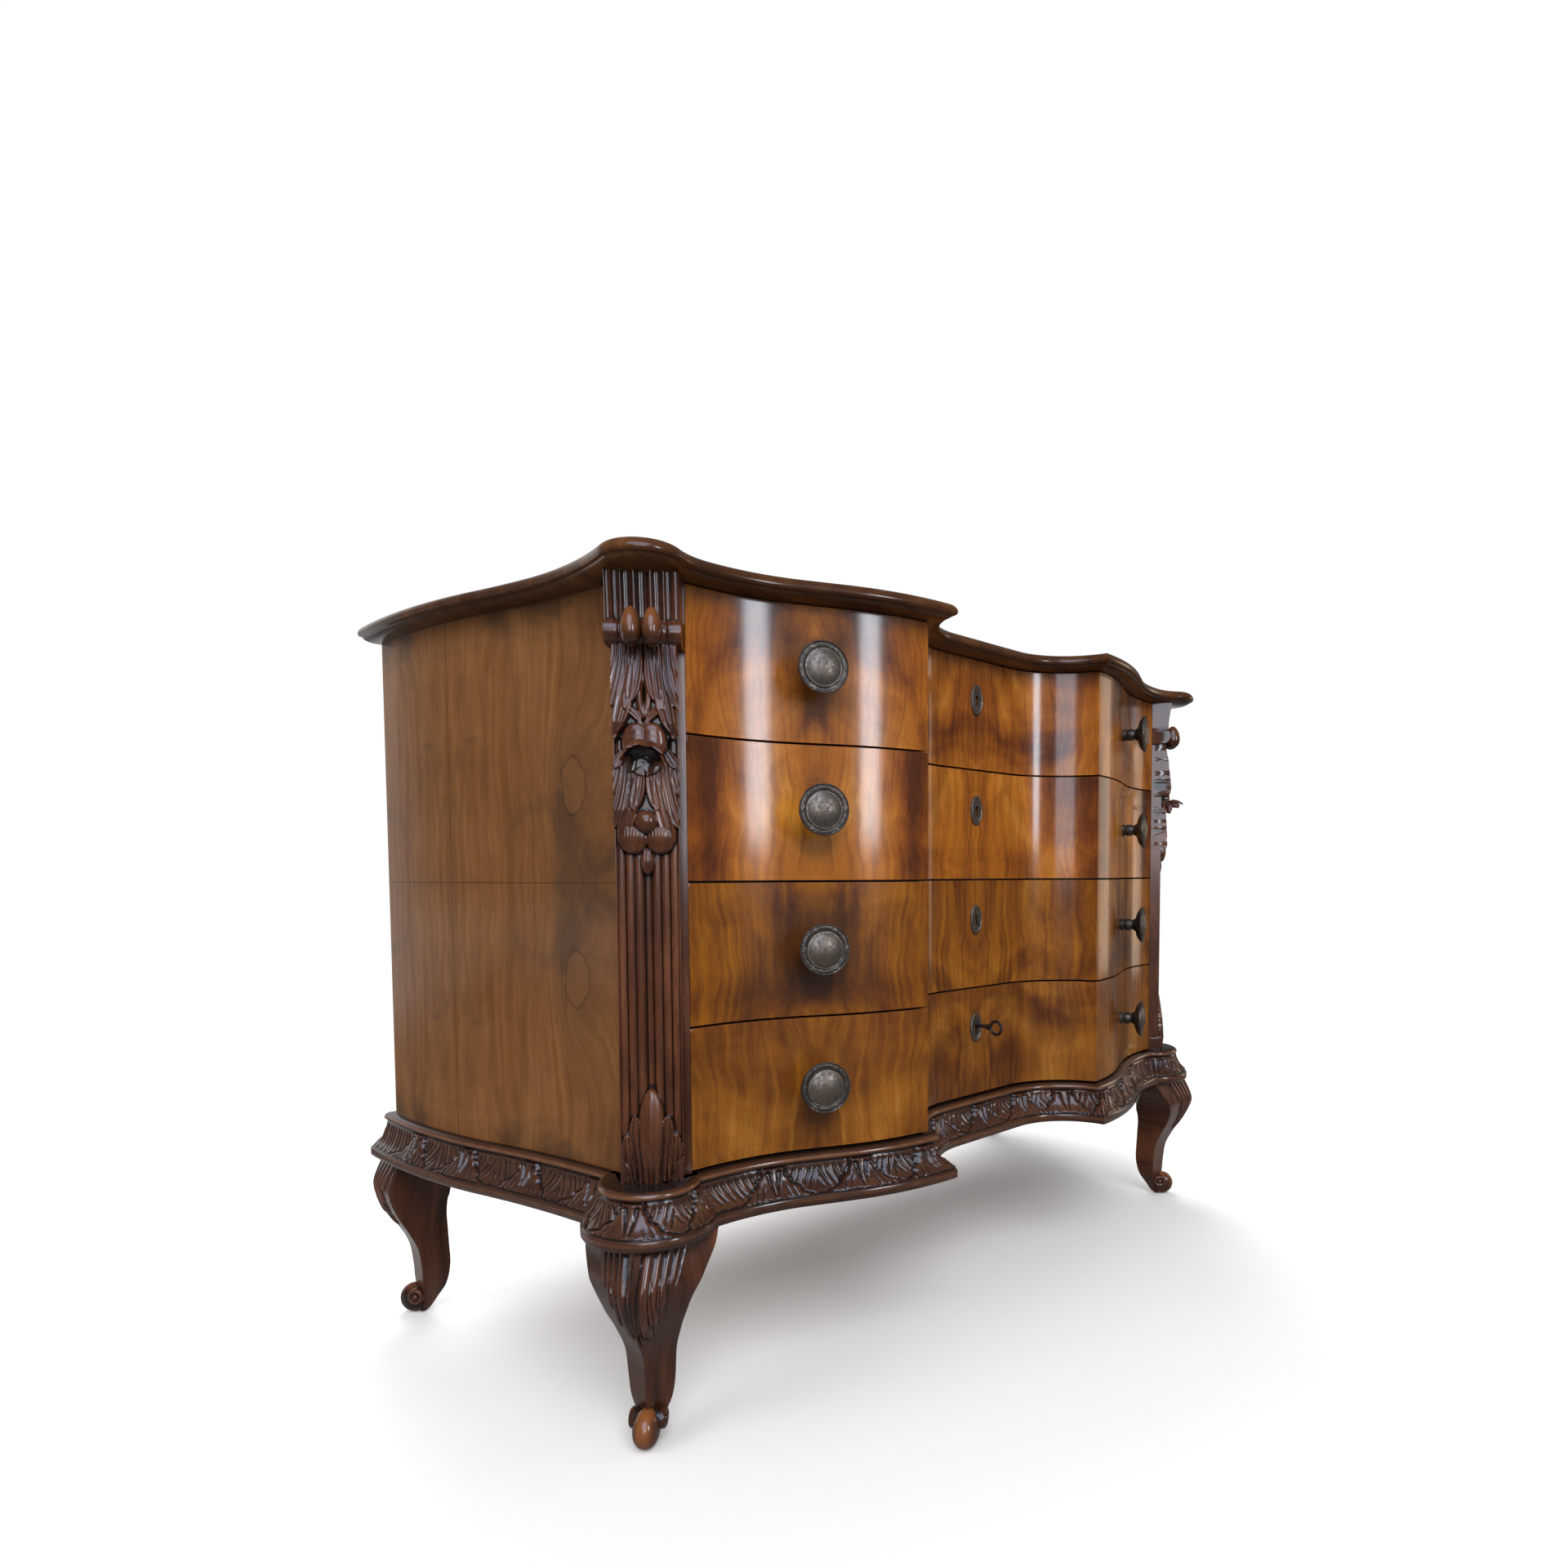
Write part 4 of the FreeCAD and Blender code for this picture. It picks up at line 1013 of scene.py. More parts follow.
# %% Heights of the post carving
POST_TURN = 37.0
POST_HALF = 37.3
POST_FACE = 31.0
POST_PROUD = 18.0
POST_COS = math.cos(math.radians(POST_TURN))
POST_SIN = math.sin(math.radians(POST_TURN))
POST_C = (FACE_END + POST_HALF * POST_COS + POST_PROUD * POST_SIN,
          POST_HALF * POST_SIN - POST_PROUD * POST_COS)
POST_FLANK = (31.6, -28.0)
REED = 8.6
REED_R = 4.4
GROOVE_HALF = 4.4
NOTHING = -40.0
LEAF_SQUEEZE = 1.05
FOOT_SQUEEZE = 1.18
OFF_POST = 99.0
CORBEL_FLUTES = [(0.0, 6.6, 7.0), (14.5, 5.4, 5.0), (25.0, 3.8, 4.0), (32.5, 2.6, 3.0)]
CORBEL_HALF = 36.2
ROLL_Z, ROLL_R, ROLL_HALF = 813.0, 13.5, 37.2
POD_Z = 752.0


def lobe(u, z, base, tip, wide, high, bow=0.0, dish=0.3):
    """A leaf finger from its root to its rounded tip, hollowed along its middle by the carver's gouge."""
    line = np.subtract(tip, base)
    far = np.hypot(*line)
    t = ((u - base[0]) * line[0] + (z - base[1]) * line[1]) / far ** 2
    d = (-(u - base[0]) * line[1] + (z - base[1]) * line[0]) / far + bow * np.sin(np.clip(t, 0, 1) * math.pi)
    end = np.clip((t - 0.66) / 0.34, 0.0, 1.0)
    width = wide * (0.55 + 0.45 * bump_up(0.6, t)) * np.sqrt(np.clip(1.0 - end ** 2, 0.0, 1.0))
    off = np.abs(d) / np.maximum(width, 0.01)
    inside = (t > -0.04) & (t < 1.0) & (off < 1.0)
    shape = high * (0.6 + 0.4 * bump_up(1.0, t)) * np.clip(1.0 - off ** 4, 0.0, 1.0) ** 0.5
    shape = shape - dish * high * np.clip(1.0 - (off / 0.8) ** 2, 0.0, 1.0)
    shape = shape - 0.1 * high * (1.0 - np.cos(off * 7.5))
    return np.where(inside, shape, NOTHING)


def dome(u, z, centre, radii, high, stripes=0.0):
    share = 1.0 - ((u - centre[0]) / radii[0]) ** 2 - ((z - centre[1]) / radii[1]) ** 2
    shape = high * np.sqrt(np.clip(share, 0.0, 1.0)) + stripes * np.cos(u * 2.1)
    return np.where(share > 0.0, shape, NOTHING)


def reeds(u):
    """The plain post: three rods on each side of a deep middle groove, then a step down to the margins."""
    rod = np.mod(np.abs(u) - GROOVE_HALF, REED) - REED / 2
    face = -REED_R + np.sqrt(np.clip(REED_R ** 2 - rod ** 2, 0.0, None))
    groove = -3.5 - np.sqrt(np.clip(GROOVE_HALF ** 2 - u ** 2, 0.0, None))
    face = np.where(np.abs(u) < GROOVE_HALF + 3 * REED, face, -0.3)
    face = np.where(np.abs(u) < GROOVE_HALF, groove, face)
    face = np.where(u < -POST_FACE - 0.05, -POST_PROUD, face)
    return np.where(u > POST_FACE + 0.05, POST_FLANK[1], face)


UPPER_LEAF = [((5.5, 805), (13.5, 744), 8.2, 6.0, 1.5), ((14.0, 805), (28.0, 714), 9.4, 6.6, 3.5),
              ((23.0, 805), (34.5, 738), 8.2, 5.6, 3.0), ((31.0, 803), (37.0, 768), 6.2, 4.4, 1.5)]
LOWER_LEAF = [((4.5, 686), (12.5, 640), 7.4, 5.6, 1.5), ((12.0, 688), (26.0, 606), 8.8, 6.2, 3.5),
              ((20.0, 690), (33.5, 622), 7.6, 5.4, 3.5), ((27.0, 690), (36.0, 653), 5.6, 4.2, 1.5)]
HOOD = [((2.0, 722), (17.5, 738), 4.2, 5.0, -2.5, 0.2), ((15.0, 740), (30.0, 708), 4.6, 5.0, -4.0, 0.2)]
TIPS = [((18.0, 702), (31.5, 681), 5.4, 5.0, 0.0, 0.3)]
FOOT_LEAF = [((0.0, 250), (0.0, 361), 15.0, 13.0, 0.0, -0.25),
             ((13.0, 250), (19.0, 334), 9.5, 10.5, 0.0, 0.35),
             ((22.0, 250), (28.5, 316), 8.5, 9.0, 0.0, 0.35), ((29.5, 250), (34.0, 290), 7.0, 7.5, 0.0, 0.35)]


def corbel_and_roll(side, z):
    """The fluted bracket under the top, and the cross roll that the eggs hang on."""
    out = np.interp(z, (826, 838, 852, 869), (9.5, 10.0, 12.0, 14.5))
    for at, half, deep in CORBEL_FLUTES:
        out = out - deep * np.clip(1.0 - ((side - at) / half) ** 2, 0.0, 1.0) ** 0.6
    corbel = np.where((z > 822) & (side < CORBEL_HALF), out, NOTHING)
    roll = -1.0 + np.sqrt(np.clip(ROLL_R ** 2 - (z - ROLL_Z) ** 2, 0.0, None))
    roll = roll - 1.4 * np.exp(-(side - 22.0) ** 2 / 3.0)
    return [corbel, np.where((np.abs(z - ROLL_Z) < ROLL_R) & (side < ROLL_HALF), roll, NOTHING)]


def hanging_leaves(u, z):
    """The acanthus above and below the flower, with pod, hood, berry and drop."""
    side = np.abs(u)
    leaf = np.where(side > POST_FACE, OFF_POST, side * LEAF_SQUEEZE)
    upper = np.interp(z, (712, 724, 755, 801, 812), (9.0, 11.5, 9.5, 4.0, 3.0))
    lower = np.interp(z, (606, 622, 640, 672, 690), (2.5, 5.0, 6.5, 6.5, 4.0))
    upper_ground = leaf < np.interp(z, (716, 735, 757, 780, 803), (28.0, 32.0, 34.0, 35.5, 36.5))
    lower_ground = leaf < np.interp(z, (612, 640, 672, 690), (29.0, 32.0, 33.0, 24.0))
    hem = 698.0 + 18.0 * (side / 29.0) ** 2
    parts = [np.where(upper_ground & (z > hem) & (z < 806), upper - 3.5, NOTHING),
             np.where(lower_ground & (z > 612) & (z < 694), lower - 3.5, NOTHING)]
    parts += [upper + lobe(leaf, z, *each) for each in UPPER_LEAF + HOOD]
    parts += [lower + lobe(leaf, z, *each) for each in LOWER_LEAF + TIPS]
    parts += [upper + dome(u, z, (0.0, POD_Z), (7.5, 24.0), 3.0)]
    parts += [upper + dome(side, z, (7.0, 706.0), (14.5, 18.0), 8.0)]
    parts += [np.where((np.abs(side - 15.5) < 3.6) & (np.abs(z - 741) < 5), upper + 4.5, NOTHING)]
    parts += [lower + dome(u, z, (0.0, 628.0), (11.5, 11.5), 10.0)]
    parts += [lower + dome(side, z, (13.0, 611.0), (14.0, 14.0), 7.0, 0.4)]
    return parts + [dome(u, z, (0.0, 590.0), (6.5, 14.0), 5.5, 0.5)]


def foot_leaf(side, z):
    """The upright leaf at the foot, fullest a little above the base."""
    folds = 1.2 * np.abs(np.sin(side * 0.55)) * np.clip((305.0 - z) / 30.0, 0.0, 1.0)
    belly = np.interp(z, (247, 262, 285, 320, 361), (0.8, 1.0, 1.1, 0.75, 0.3))
    foot = [lobe(side * FOOT_SQUEEZE, z, *each) * belly - folds for each in FOOT_LEAF]
    return [np.where(side > POST_FACE, NOTHING, each) for each in foot]


def post_height(u, z):
    """Height of the carved post over its reeded face, at places across it and up it."""
    side = np.abs(u)
    parts = corbel_and_roll(side, z) + hanging_leaves(u, z) + foot_leaf(side, z)
    slit = 9.0 * np.exp(-(u / 1.8) ** 2) * np.exp(-((z - POD_Z) / 9.0) ** 2)
    carving = np.maximum.reduce(parts) - slit
    flower_seat = np.hypot(u / 17.0, (z - 688.0) / 15.0) < 1.0
    carving = np.where(flower_seat, np.minimum(carving, 6.0), carving)
    return np.maximum(reeds(u), carving)


print("carved lobes on half a post:", len(UPPER_LEAF + LOWER_LEAF + HOOD + TIPS + FOOT_LEAF))

# %% [markdown]
# The post itself is one grid with a column about every millimetre. Beyond the face the columns fold back:
# under the overhang of the roll and corbel, then down the flank, so that the piece is solid from the side
# too. Its rim is extruded back to the side panel and the hole behind is filled.

# %% Carved posts
POST_ROWS = 560
POST_BACK_X = 511.0
ROLL_BACK = -5.0


def on_post(u, out):
    """Plan point at a place across the canted face and a distance out of it."""
    return POST_C[0] + u * POST_COS + out * POST_SIN, POST_C[1] + u * POST_SIN - out * POST_COS


across = np.concatenate((np.linspace(-POST_HALF, -POST_FACE - 0.1, 8), np.linspace(-POST_FACE, POST_FACE, 79),
                         np.linspace(POST_FACE + 0.1, POST_HALF + 0.3, 12),
                         POST_HALF + np.array((0.4, 0.5, 0.6))))
post = grid(len(across) - 1, POST_ROWS)
column, row = counts(post)
up = np.linspace(BASE_TOP, TOP_UNDER, POST_ROWS + 1)
height = post_height(*np.meshgrid(across, up, indexing="ij"))
height[0, :] = -POST_PROUD
stands = height > -POST_PROUD + 1.0
cuts = np.where(stands, cuts_of(np.maximum(height, -6.0), 2.8), 0.0)
mark(post, "hollow", cuts[column, row])
index = np.arange(len(across))[:, None]
last = np.max(np.where(stands, index, 0), axis=0)
past = index - last
place = np.where(past == 1, across[last], across[:, None])
place = np.where(past == 2, POST_FACE + 0.2, np.where(past > 2, POST_FLANK[0], place))
height = np.where(past == 1, ROLL_BACK, np.where(past == 2, ROLL_BACK - 1.0, height))
x, y = on_post(place[column, row], height[column, row])
move(post, x, y, up[row])
rim = [edge for edge in post.edges if edge.is_boundary]
grown = bmesh.ops.extrude_edge_only(post, edges=rim)["geom"]
for vert in points_of(grown):
    u = (vert.co.x - POST_C[0]) * POST_COS + (vert.co.y - POST_C[1]) * POST_SIN
    share = (u + POST_HALF) / (POST_HALF + POST_FLANK[0])
    vert.co.x = FACE_END + (POST_BACK_X - FACE_END) * min(1.0, share)
    vert.co.y = PANEL_FRONT
bmesh.ops.holes_fill(post, edges=[edge for edge in post.edges if edge.is_boundary])
pair("carved_post", post, CARVED, "carcass", "carved_walnut", "front_post", "post_carving", sharp=80.0)
print("post relief from", round(float(height.min()), 1), "to", round(float(height.max()), 1), "mm")

# %% [markdown]
# The two eggs hang clear of the roll, and the open flower below them is a hollow cup, which no height over a
# face can give. Both are turned like any round thing: half a profile, spun a full turn about its axis. The
# eggs are then stretched, and the rim of the cup is waved to make petals.

# %% Eggs and flower of the posts
EGG = (9.9, 12.5, 18.8)
EGG_SPOT = (20.0, 814.0)
PETALS = 7
FLOWER_SPOT = (13.0, 702.0)
FLOWER_TILT = 146.0


def spun(profile, steps):
    """A solid turned about z from points of radius and height."""
    bm = bmesh.new()
    verts = [bm.verts.new((radius, 0.0, up)) for radius, up in profile]
    edges = [bm.edges.new(ends) for ends in zip(verts, verts[1:])]
    bmesh.ops.spin(bm, geom=verts + edges, cent=(0.0, 0.0, 0.0), axis=(0.0, 0.0, 1.0), angle=2 * math.pi,
                   steps=steps, use_merge=True)
    bmesh.ops.remove_doubles(bm, verts=bm.verts, dist=0.01)
    return bm


def to_post(bm, u, out, z):
    """Turns a part made with its front towards -y and sets it on the post."""
    turn_by(bm, POST_TURN, "Z")
    shift_by(bm, (*on_post(u, out), z))


def flower_cup():
    outside = [(0.0, 0.0), (6.0, 0.0), (12.0, 2.0), (17.0, 6.5), (19.5, 12.0), (20.0, 16.0)]
    inside = [(19.2, 17.0), (18.0, 15.5), (16.0, 10.0), (12.0, 4.6), (6.0, 2.6), (0.0, 2.2)]
    bm = spun(outside + inside, 84)
    hollow = []
    for vert in bm.verts:
        radius = math.hypot(vert.co.x, vert.co.y)
        wave = math.cos(PETALS * math.atan2(vert.co.y, vert.co.x))
        rim = max(0.0, (radius - 9.0) / 10.0)
        wall = np.interp(radius, *zip(*outside[1:])) if radius > 6.0 else 0.0
        # Inside the cup the colour is darkened as painted shade; the petal rims are lightened as wear and a
        # painted highlight.
        in_shaded_cup = vert.co.z > wall + 0.9 and vert.co.z < 15.0
        hollow.append(0.32 if in_shaded_cup else -0.2 * rim)
        vert.co.x *= 1.0 + 0.12 * wave * rim
        vert.co.y *= 1.0 + 0.12 * wave * rim
        vert.co.z += 3.0 * wave * rim ** 2
    mark(bm, "hollow", np.array(hollow))
    turn_by(bm, FLOWER_TILT, "X")
    return bm


def egg_line():
    """Half an egg of radius 1, fuller below than above."""
    angles = np.linspace(0.0, math.pi, 21)
    return [(max(0.0, math.sin(turn) * (1.0 + 0.2 * math.cos(turn))), -math.cos(turn)) for turn in angles]


eggs = bmesh.new()
for at in (-EGG[0], EGG[0]):
    one = spun(egg_line(), 28)
    # Painted highlight on the top and front of each egg, and painted shade on its underside.
    mark(one, "hollow", np.array([-0.2 - 0.14 * vert.co.z + 0.12 * vert.co.y for vert in one.verts]))
    bmesh.ops.scale(one, vec=EGG, verts=one.verts)
    to_post(one, at, *EGG_SPOT)
    add_to(eggs, one)
flower = flower_cup()
bmesh.ops.scale(flower, vec=(0.98, 0.95, 0.95), verts=flower.verts)
to_post(flower, 0.0, *FLOWER_SPOT)
add_to(eggs, flower)
pair("carved_eggs_and_flower", eggs, CARVED, "carcass", "carved_walnut", sharp=60.0)

# %% [markdown]
# The legs are cabriole legs sawn from a square block in two directions, so at each level the section is a
# square with its ridge on the diagonal. A grid wraps round the section, and its rows step down the leg. The
# knee is carved with a flat strip and ribs that end in rounded steps. The toe is a turned roll with an eye
# at each end.

# %% Shape of a leg
LEG_FACE = [(54, 0), (60, -14), (66.5, -36), (66, -50), (57.5, -74), (45, -98), (35, -122), (31.5, -148),
            (30, -172), (27, -190), (26, -215)]
LEG_HEEL = [(-2, -78), (-2.5, -105), (-3.5, -135), (-3.5, -152), (-2, -166), (1.5, -180), (8, -193),
            (15.5, -208), (21, -215)]
LEG_WING = [(-43, 0), (-34, -16), (-18, -36), (-6, -57)]
LEG_PLAIN = [(-1.5, 0), (-1.5, -40)]
LEG_BACK = -5.0 * math.sqrt(2)
LEG_ROWS = 160
LEG_SIDES = (88, 14, 8, 14, 88)
REAR_LEG = (562.0, 442.0)


def through(points, drop):
    """A smooth curve through places and drops, read at given drops."""
    fine = rounded(points, 12)
    order = np.argsort(-fine[:, 1])
    return np.interp(-drop, -fine[order, 1], fine[order, 0])


RIB = 12.0
KNEE_RIBS = [(13.0, 96.0, 3.6), (24.5, 80.0, 4.0), (36.0, 62.0, 4.0), (47.5, 42.0, 3.2)]


def knee_relief(q, drop):
    """Height of the carving on a leg's outer face, from the distance off the ridge and the drop."""
    depth = -drop
    taper = np.clip(1.0 - depth / 108.0, 0.0, 1.0)
    relief = -1.0 * bump_up(1.6, 12.5 * taper ** 0.8 - q) * bump_up(3.0, depth - 2.0)
    relief = relief - 2.6 * bump_up(1.4, 1.5 - np.abs(q - 12.5 * taper ** 0.8)) * bump_up(4.0, 106.0 - depth)
    for first, end, high in KNEE_RIBS:
        middle = (first + RIB / 2) * np.clip(1.0 - depth / 240.0, 0.55, 1.0)
        over = np.clip((depth - (end - 11.0)) / 11.0, 0.0, 4.0)
        share = 1.0 - ((q - middle) / (RIB / 2)) ** 2 - over ** 2
        rib = high * np.clip(share, 0.0, 1.0) ** 0.5 * (0.7 + 0.3 * np.clip(depth / end, 0.0, 1.0))
        edge = bump_up(1.2, 1.4 - np.abs(np.abs(q - middle) - RIB / 2)) * (over < 0.9)
        relief = relief + (rib - 1.4 * edge) * bump_up(4.0, depth - 1.0)
    return relief


def leg_mesh(other):
    """Front right leg about its corner line, outwards +x and -y."""
    columns = sum(LEG_SIDES)
    bm = grid(columns, LEG_ROWS)
    column, row = counts(bm)
    drop = -LEG_HEIGHT * row / LEG_ROWS
    face = through(LEG_FACE, drop)
    inner_b = through(LEG_WING + LEG_HEEL, drop)
    inner_a = through(other + LEG_HEEL, drop)
    diagonal_a = np.maximum(inner_a, LEG_BACK - inner_b)
    diagonal_b = np.maximum(inner_b, LEG_BACK - inner_a)
    corners = [(face, face), (face, inner_b), (diagonal_a, inner_b), (inner_a, diagonal_b), (inner_a, face),
               (face, face)]
    a = np.zeros(len(column))
    b = np.zeros(len(column))
    first = 0
    for count, start, end in zip(LEG_SIDES, corners, corners[1:]):
        here = (column >= first) & (column <= first + count)
        share = ((column - first) / count)[here]
        a[here] = start[0][here] + (end[0][here] - start[0][here]) * share
        b[here] = start[1][here] + (end[1][here] - start[1][here]) * share
        first += count
    on_a = column <= LEG_SIDES[0]
    on_b = column >= columns - LEG_SIDES[-1]
    relief = knee_relief(np.where(on_a, face - b, face - a), drop)
    height = np.zeros((columns + 1, LEG_ROWS + 1))
    height[column, row] = np.where(on_a | on_b, relief, 0.0)
    mark(bm, "hollow", cuts_of(height, 2.6)[column, row])
    a = a + np.where(on_a, relief, 0.0)
    b = b + np.where(on_b, relief, 0.0)
    move(bm, a, -b, LEG_HEIGHT + drop)
    close(bm)
    free = [vert for vert in bm.verts if 0.5 < vert.co.z < LEG_HEIGHT - 0.5]
    bmesh.ops.smooth_vert(bm, verts=free, factor=0.4, use_axis_x=True, use_axis_y=True)
    return bm


def toe(rub_and_light):
    """The rolled toe: a rounded tongue across the diagonal, with a scroll eye set back at each side."""
    angles = np.linspace(0.0, math.pi / 2, 9)
    ends = [(19.0 * math.cos(angle) ** 0.8, 13.2 * math.sin(angle)) for angle in angles]
    ends[-1] = (0.0, 13.2)
    tongue = spun([(radius, -at) for radius, at in ends[:0:-1]] + ends, 44)
    # The tongue is lightened for wear and a painted highlight; a smaller amount keeps a rear toe dark as
    # painted shade.
    mark(tongue, "hollow", np.array([0.04 * max(0.0, abs(vert.co.z) - 4.0) - rub_and_light for vert in tongue.verts]))
    turn_by(tongue, 90, "X")
    shift_by(tongue, (42.5, 0.0, 19.5))
    scroll = [(0.0, 20.0), (2.4, 19.8), (3.6, 18.6), (3.8, 17.4), (5.2, 17.2), (6.4, 18.4), (8.2, 18.6),
              (9.8, 17.4), (10.4, 15.0), (10.4, 8.0)]
    eyes = spun(scroll + [(radius, -at) for radius, at in scroll[::-1]], 36)
    turns = [(math.hypot(vert.co.x, vert.co.y), abs(vert.co.z)) for vert in eyes.verts]
    # Dark in the groove of each scroll and on its inner side against the tongue: dirt in the cut, and painted
    # shade.
    dirt_and_shade_in_eye = [3.7 < radius < 5.4 or at < 13.0 for radius, at in turns]
    mark(eyes, "hollow", np.where(dirt_and_shade_in_eye, 0.45, 0.05))
    turn_by(eyes, 90, "X")
    shift_by(eyes, (34.0, 0.0, 26.0))
    add_to(tongue, eyes)
    turn_by(tongue, -45, "Z")
    return tongue


print("ribs on each side of a knee:", len(KNEE_RIBS))

# %% [markdown]
# The front legs stand on the diagonal of the round corner blocks. The rear ones are turned by a right angle
# under the back corners and have no inner wing. Their toes are less rubbed than those in front and stay
# darker: painted shade on the rear legs, while the front toes carry wear and a painted highlight.

# %% Legs
# More lightening on the front toes for wear and a painted highlight, less on the rear ones as painted shade.
LEGS = [("front_leg", LEG_WING, 0.5, 0.0, CORNER), ("rear_leg", LEG_PLAIN, 0.1, 90.0, REAR_LEG)]

for name, wing, rub_and_light, turned_by, spot in LEGS:
    leg = leg_mesh(wing)
    add_to(leg, toe(rub_and_light))
    turn_by(leg, turned_by, "Z")
    shift_by(leg, (*spot, 0.0))
    pair("carved_" + name, leg, CARVED, "carcass", "carved_walnut", name, sharp=70.0)

# %% [markdown]
# The knobs are turned and cast bronze: a barrel neck, a flaring mushroom, a ring with a rope pattern and a
# domed middle. The outline is spun, and then the rim is pushed in and out round the turn to make the rope.
# Each knob stands square to the straight run of the drawer front, so it is turned by the same angle.

# %% Knobs
KNOB_X = 318.0
HOLLOW_FIRST = (334.1139, -24.2073)
RIBBONS = 6


def knob_mesh():
    neck = [(0.0, -20.0), (4.0, -20.0), (4.0, 0.1), (9.0, 0.1), (9.4, 1.2), (9.0, 2.8), (7.6, 4.0),
            (8.6, 6.0), (9.2, 9.0), (9.0, 12.5), (8.0, 15.5), (7.2, 17.0), (8.4, 18.2), (11.0, 22.0)]
    cup = [(14.5, 22.6), (19.0, 24.0), (23.5, 26.6), (26.6, 29.4), (27.7, 31.0)]
    ring = [(28.0, 32.2), (27.7, 33.3), (27.0, 33.7), (26.3, 33.3), (25.9, 32.6), (25.2, 32.7), (24.5, 33.0),
            (23.8, 32.9), (23.1, 33.0), (22.4, 32.7), (21.8, 32.5), (21.4, 33.3), (20.9, 33.8), (20.3, 33.4)]
    middle = [(19.6, 33.3), (18.2, 34.1), (16.0, 35.2), (13.0, 36.4), (9.5, 37.4), (6.0, 38.0), (3.0, 38.3),
              (0.0, 38.4)]
    bm = spun(neck + cup + ring + middle, 144)
    hollow = []
    for vert in bm.verts:
        radius = math.hypot(vert.co.x, vert.co.y)
        turn = math.atan2(vert.co.y, vert.co.x) * RIBBONS / (2 * math.pi)
        level = 0.0
        if vert.co.z < 31.0:
            level = 0.2
        elif 21.6 < radius < 26.2:
            slant = (radius - 23.9) * 0.045
            off = min(abs(turn + slant - round(turn + slant)), abs(turn - slant - round(turn - slant)))
            ribbon = math.exp(-(off / 0.055) ** 2)
            vert.co.z += 0.5 * ribbon
            level = 0.3 - 0.18 * ribbon
        elif 19.9 < radius < 20.5:
            level = 0.4
        elif radius > 20.4:
            level = 0.16
        hollow.append(level)
    mark(bm, "hollow", np.array(hollow))
    return bm


def knobs(number):
    back = (HOLLOW_FIRST[0] - KNOB_X) / math.cos(math.radians(SWEEP))
    seat = (KNOB_X, HOLLOW_FIRST[1] - back * math.sin(math.radians(SWEEP)), bay(number) + KNOB_Z)
    right = knob_mesh()
    turn_by(right, 90, "X")
    turn_by(right, SWEEP, "Z")
    shift_by(right, seat)
    add_to(right, mirrored(right))
    name = "drawer_%d_knobs" % number
    piece("cast_" + name, right, BRONZE, "drawer_%d" % number, "antique_bronze", name, sharp=50.0)


for drawer in DRAWERS:
    knobs(drawer)

# %% [markdown]
# A key plate is a thin upright oval with a rounded rim and a keyhole. It is made as rings of the same number
# of points, from the keyhole outwards: each ring is extruded from the last, then spread and lifted, which
# keeps the faces in clean loops round the hole.

# %% Key plates
PLATE_HALF = (11.5, 20.0)
PLATE_RINGS = [(1.0, 1.9), (0.96, 2.5), (0.9, 2.9), (0.84, 2.6), (0.8, 1.9), (0.62, 1.9)]
RING_POINTS = 64
HOLE_RISE = 3.0
PLATE_FACE = 1.9


def keyhole_point(angle):
    """A point of the keyhole's edge in a given direction from the middle of the hole."""
    cosine, sine = math.cos(angle), math.sin(angle)
    x, y = KEYHOLE_R * cosine, KEYHOLE_R * sine
    if y < -2.4 or (y < 0.0 and abs(x) < KEYHOLE_HALF):
        y = -KEYHOLE_DROP
        x = max(-KEYHOLE_HALF, min(KEYHOLE_HALF, -y * cosine / max(0.05, -sine)))
        if abs(x) >= KEYHOLE_HALF:
            y = max(-KEYHOLE_DROP, -KEYHOLE_HALF * abs(sine) / max(0.05, abs(cosine)))
    return x, y


def key_plate(number):
    bm = bmesh.new()
    bmesh.ops.create_circle(bm, segments=RING_POINTS, radius=1.0, cap_ends=False)
    loop = list(bm.edges)
    for vert in bm.verts:
        vert.co = (vert.co.x * PLATE_HALF[0], vert.co.y * PLATE_HALF[1], 0.0)
    for share, out in PLATE_RINGS + [(None, PLATE_FACE), (None, 0.0)]:
        grown = bmesh.ops.extrude_edge_only(bm, edges=loop)["geom"]
        loop = [each for each in grown if isinstance(each, bmesh.types.BMEdge)]
        loop = [edge for edge in loop if edge.is_boundary]
        for vert in {vert for edge in loop for vert in edge.verts}:
            angle = math.atan2(vert.co.y / PLATE_HALF[1], vert.co.x / PLATE_HALF[0])
            if share is None:
                if vert.co.z > 0.5 and out > 0.5:
                    x, y = keyhole_point(math.atan2(vert.co.y - HOLE_RISE, vert.co.x))
                    vert.co = (x, y + HOLE_RISE, out)
                else:
                    vert.co.z = out
            else:
                cosine, sine = math.cos(angle), math.sin(angle)
                vert.co = (share * PLATE_HALF[0] * cosine, share * PLATE_HALF[1] * sine, out)
    mark(bm, "hollow", np.array([0.1 if 1.0 < vert.co.z < 2.2 else -0.1 for vert in bm.verts]))
    turn_by(bm, 90, "X")
    shift_by(bm, (0.0, MIDDLE_FACE_Y, bay(number) + KEY_Z - HOLE_RISE))
    name = "drawer_%d_escutcheon" % number
    piece("cast_" + name, bm, BRONZE, "drawer_%d" % number, "antique_bronze", name, sharp=50.0)


for drawer in DRAWERS:
    key_plate(drawer)

# %% [markdown]
# What is left of the CAD model is right as it is: flat boards, runners, drawer boxes, lock cases, bolts and
# the key. These keep their solids and only take a finish.

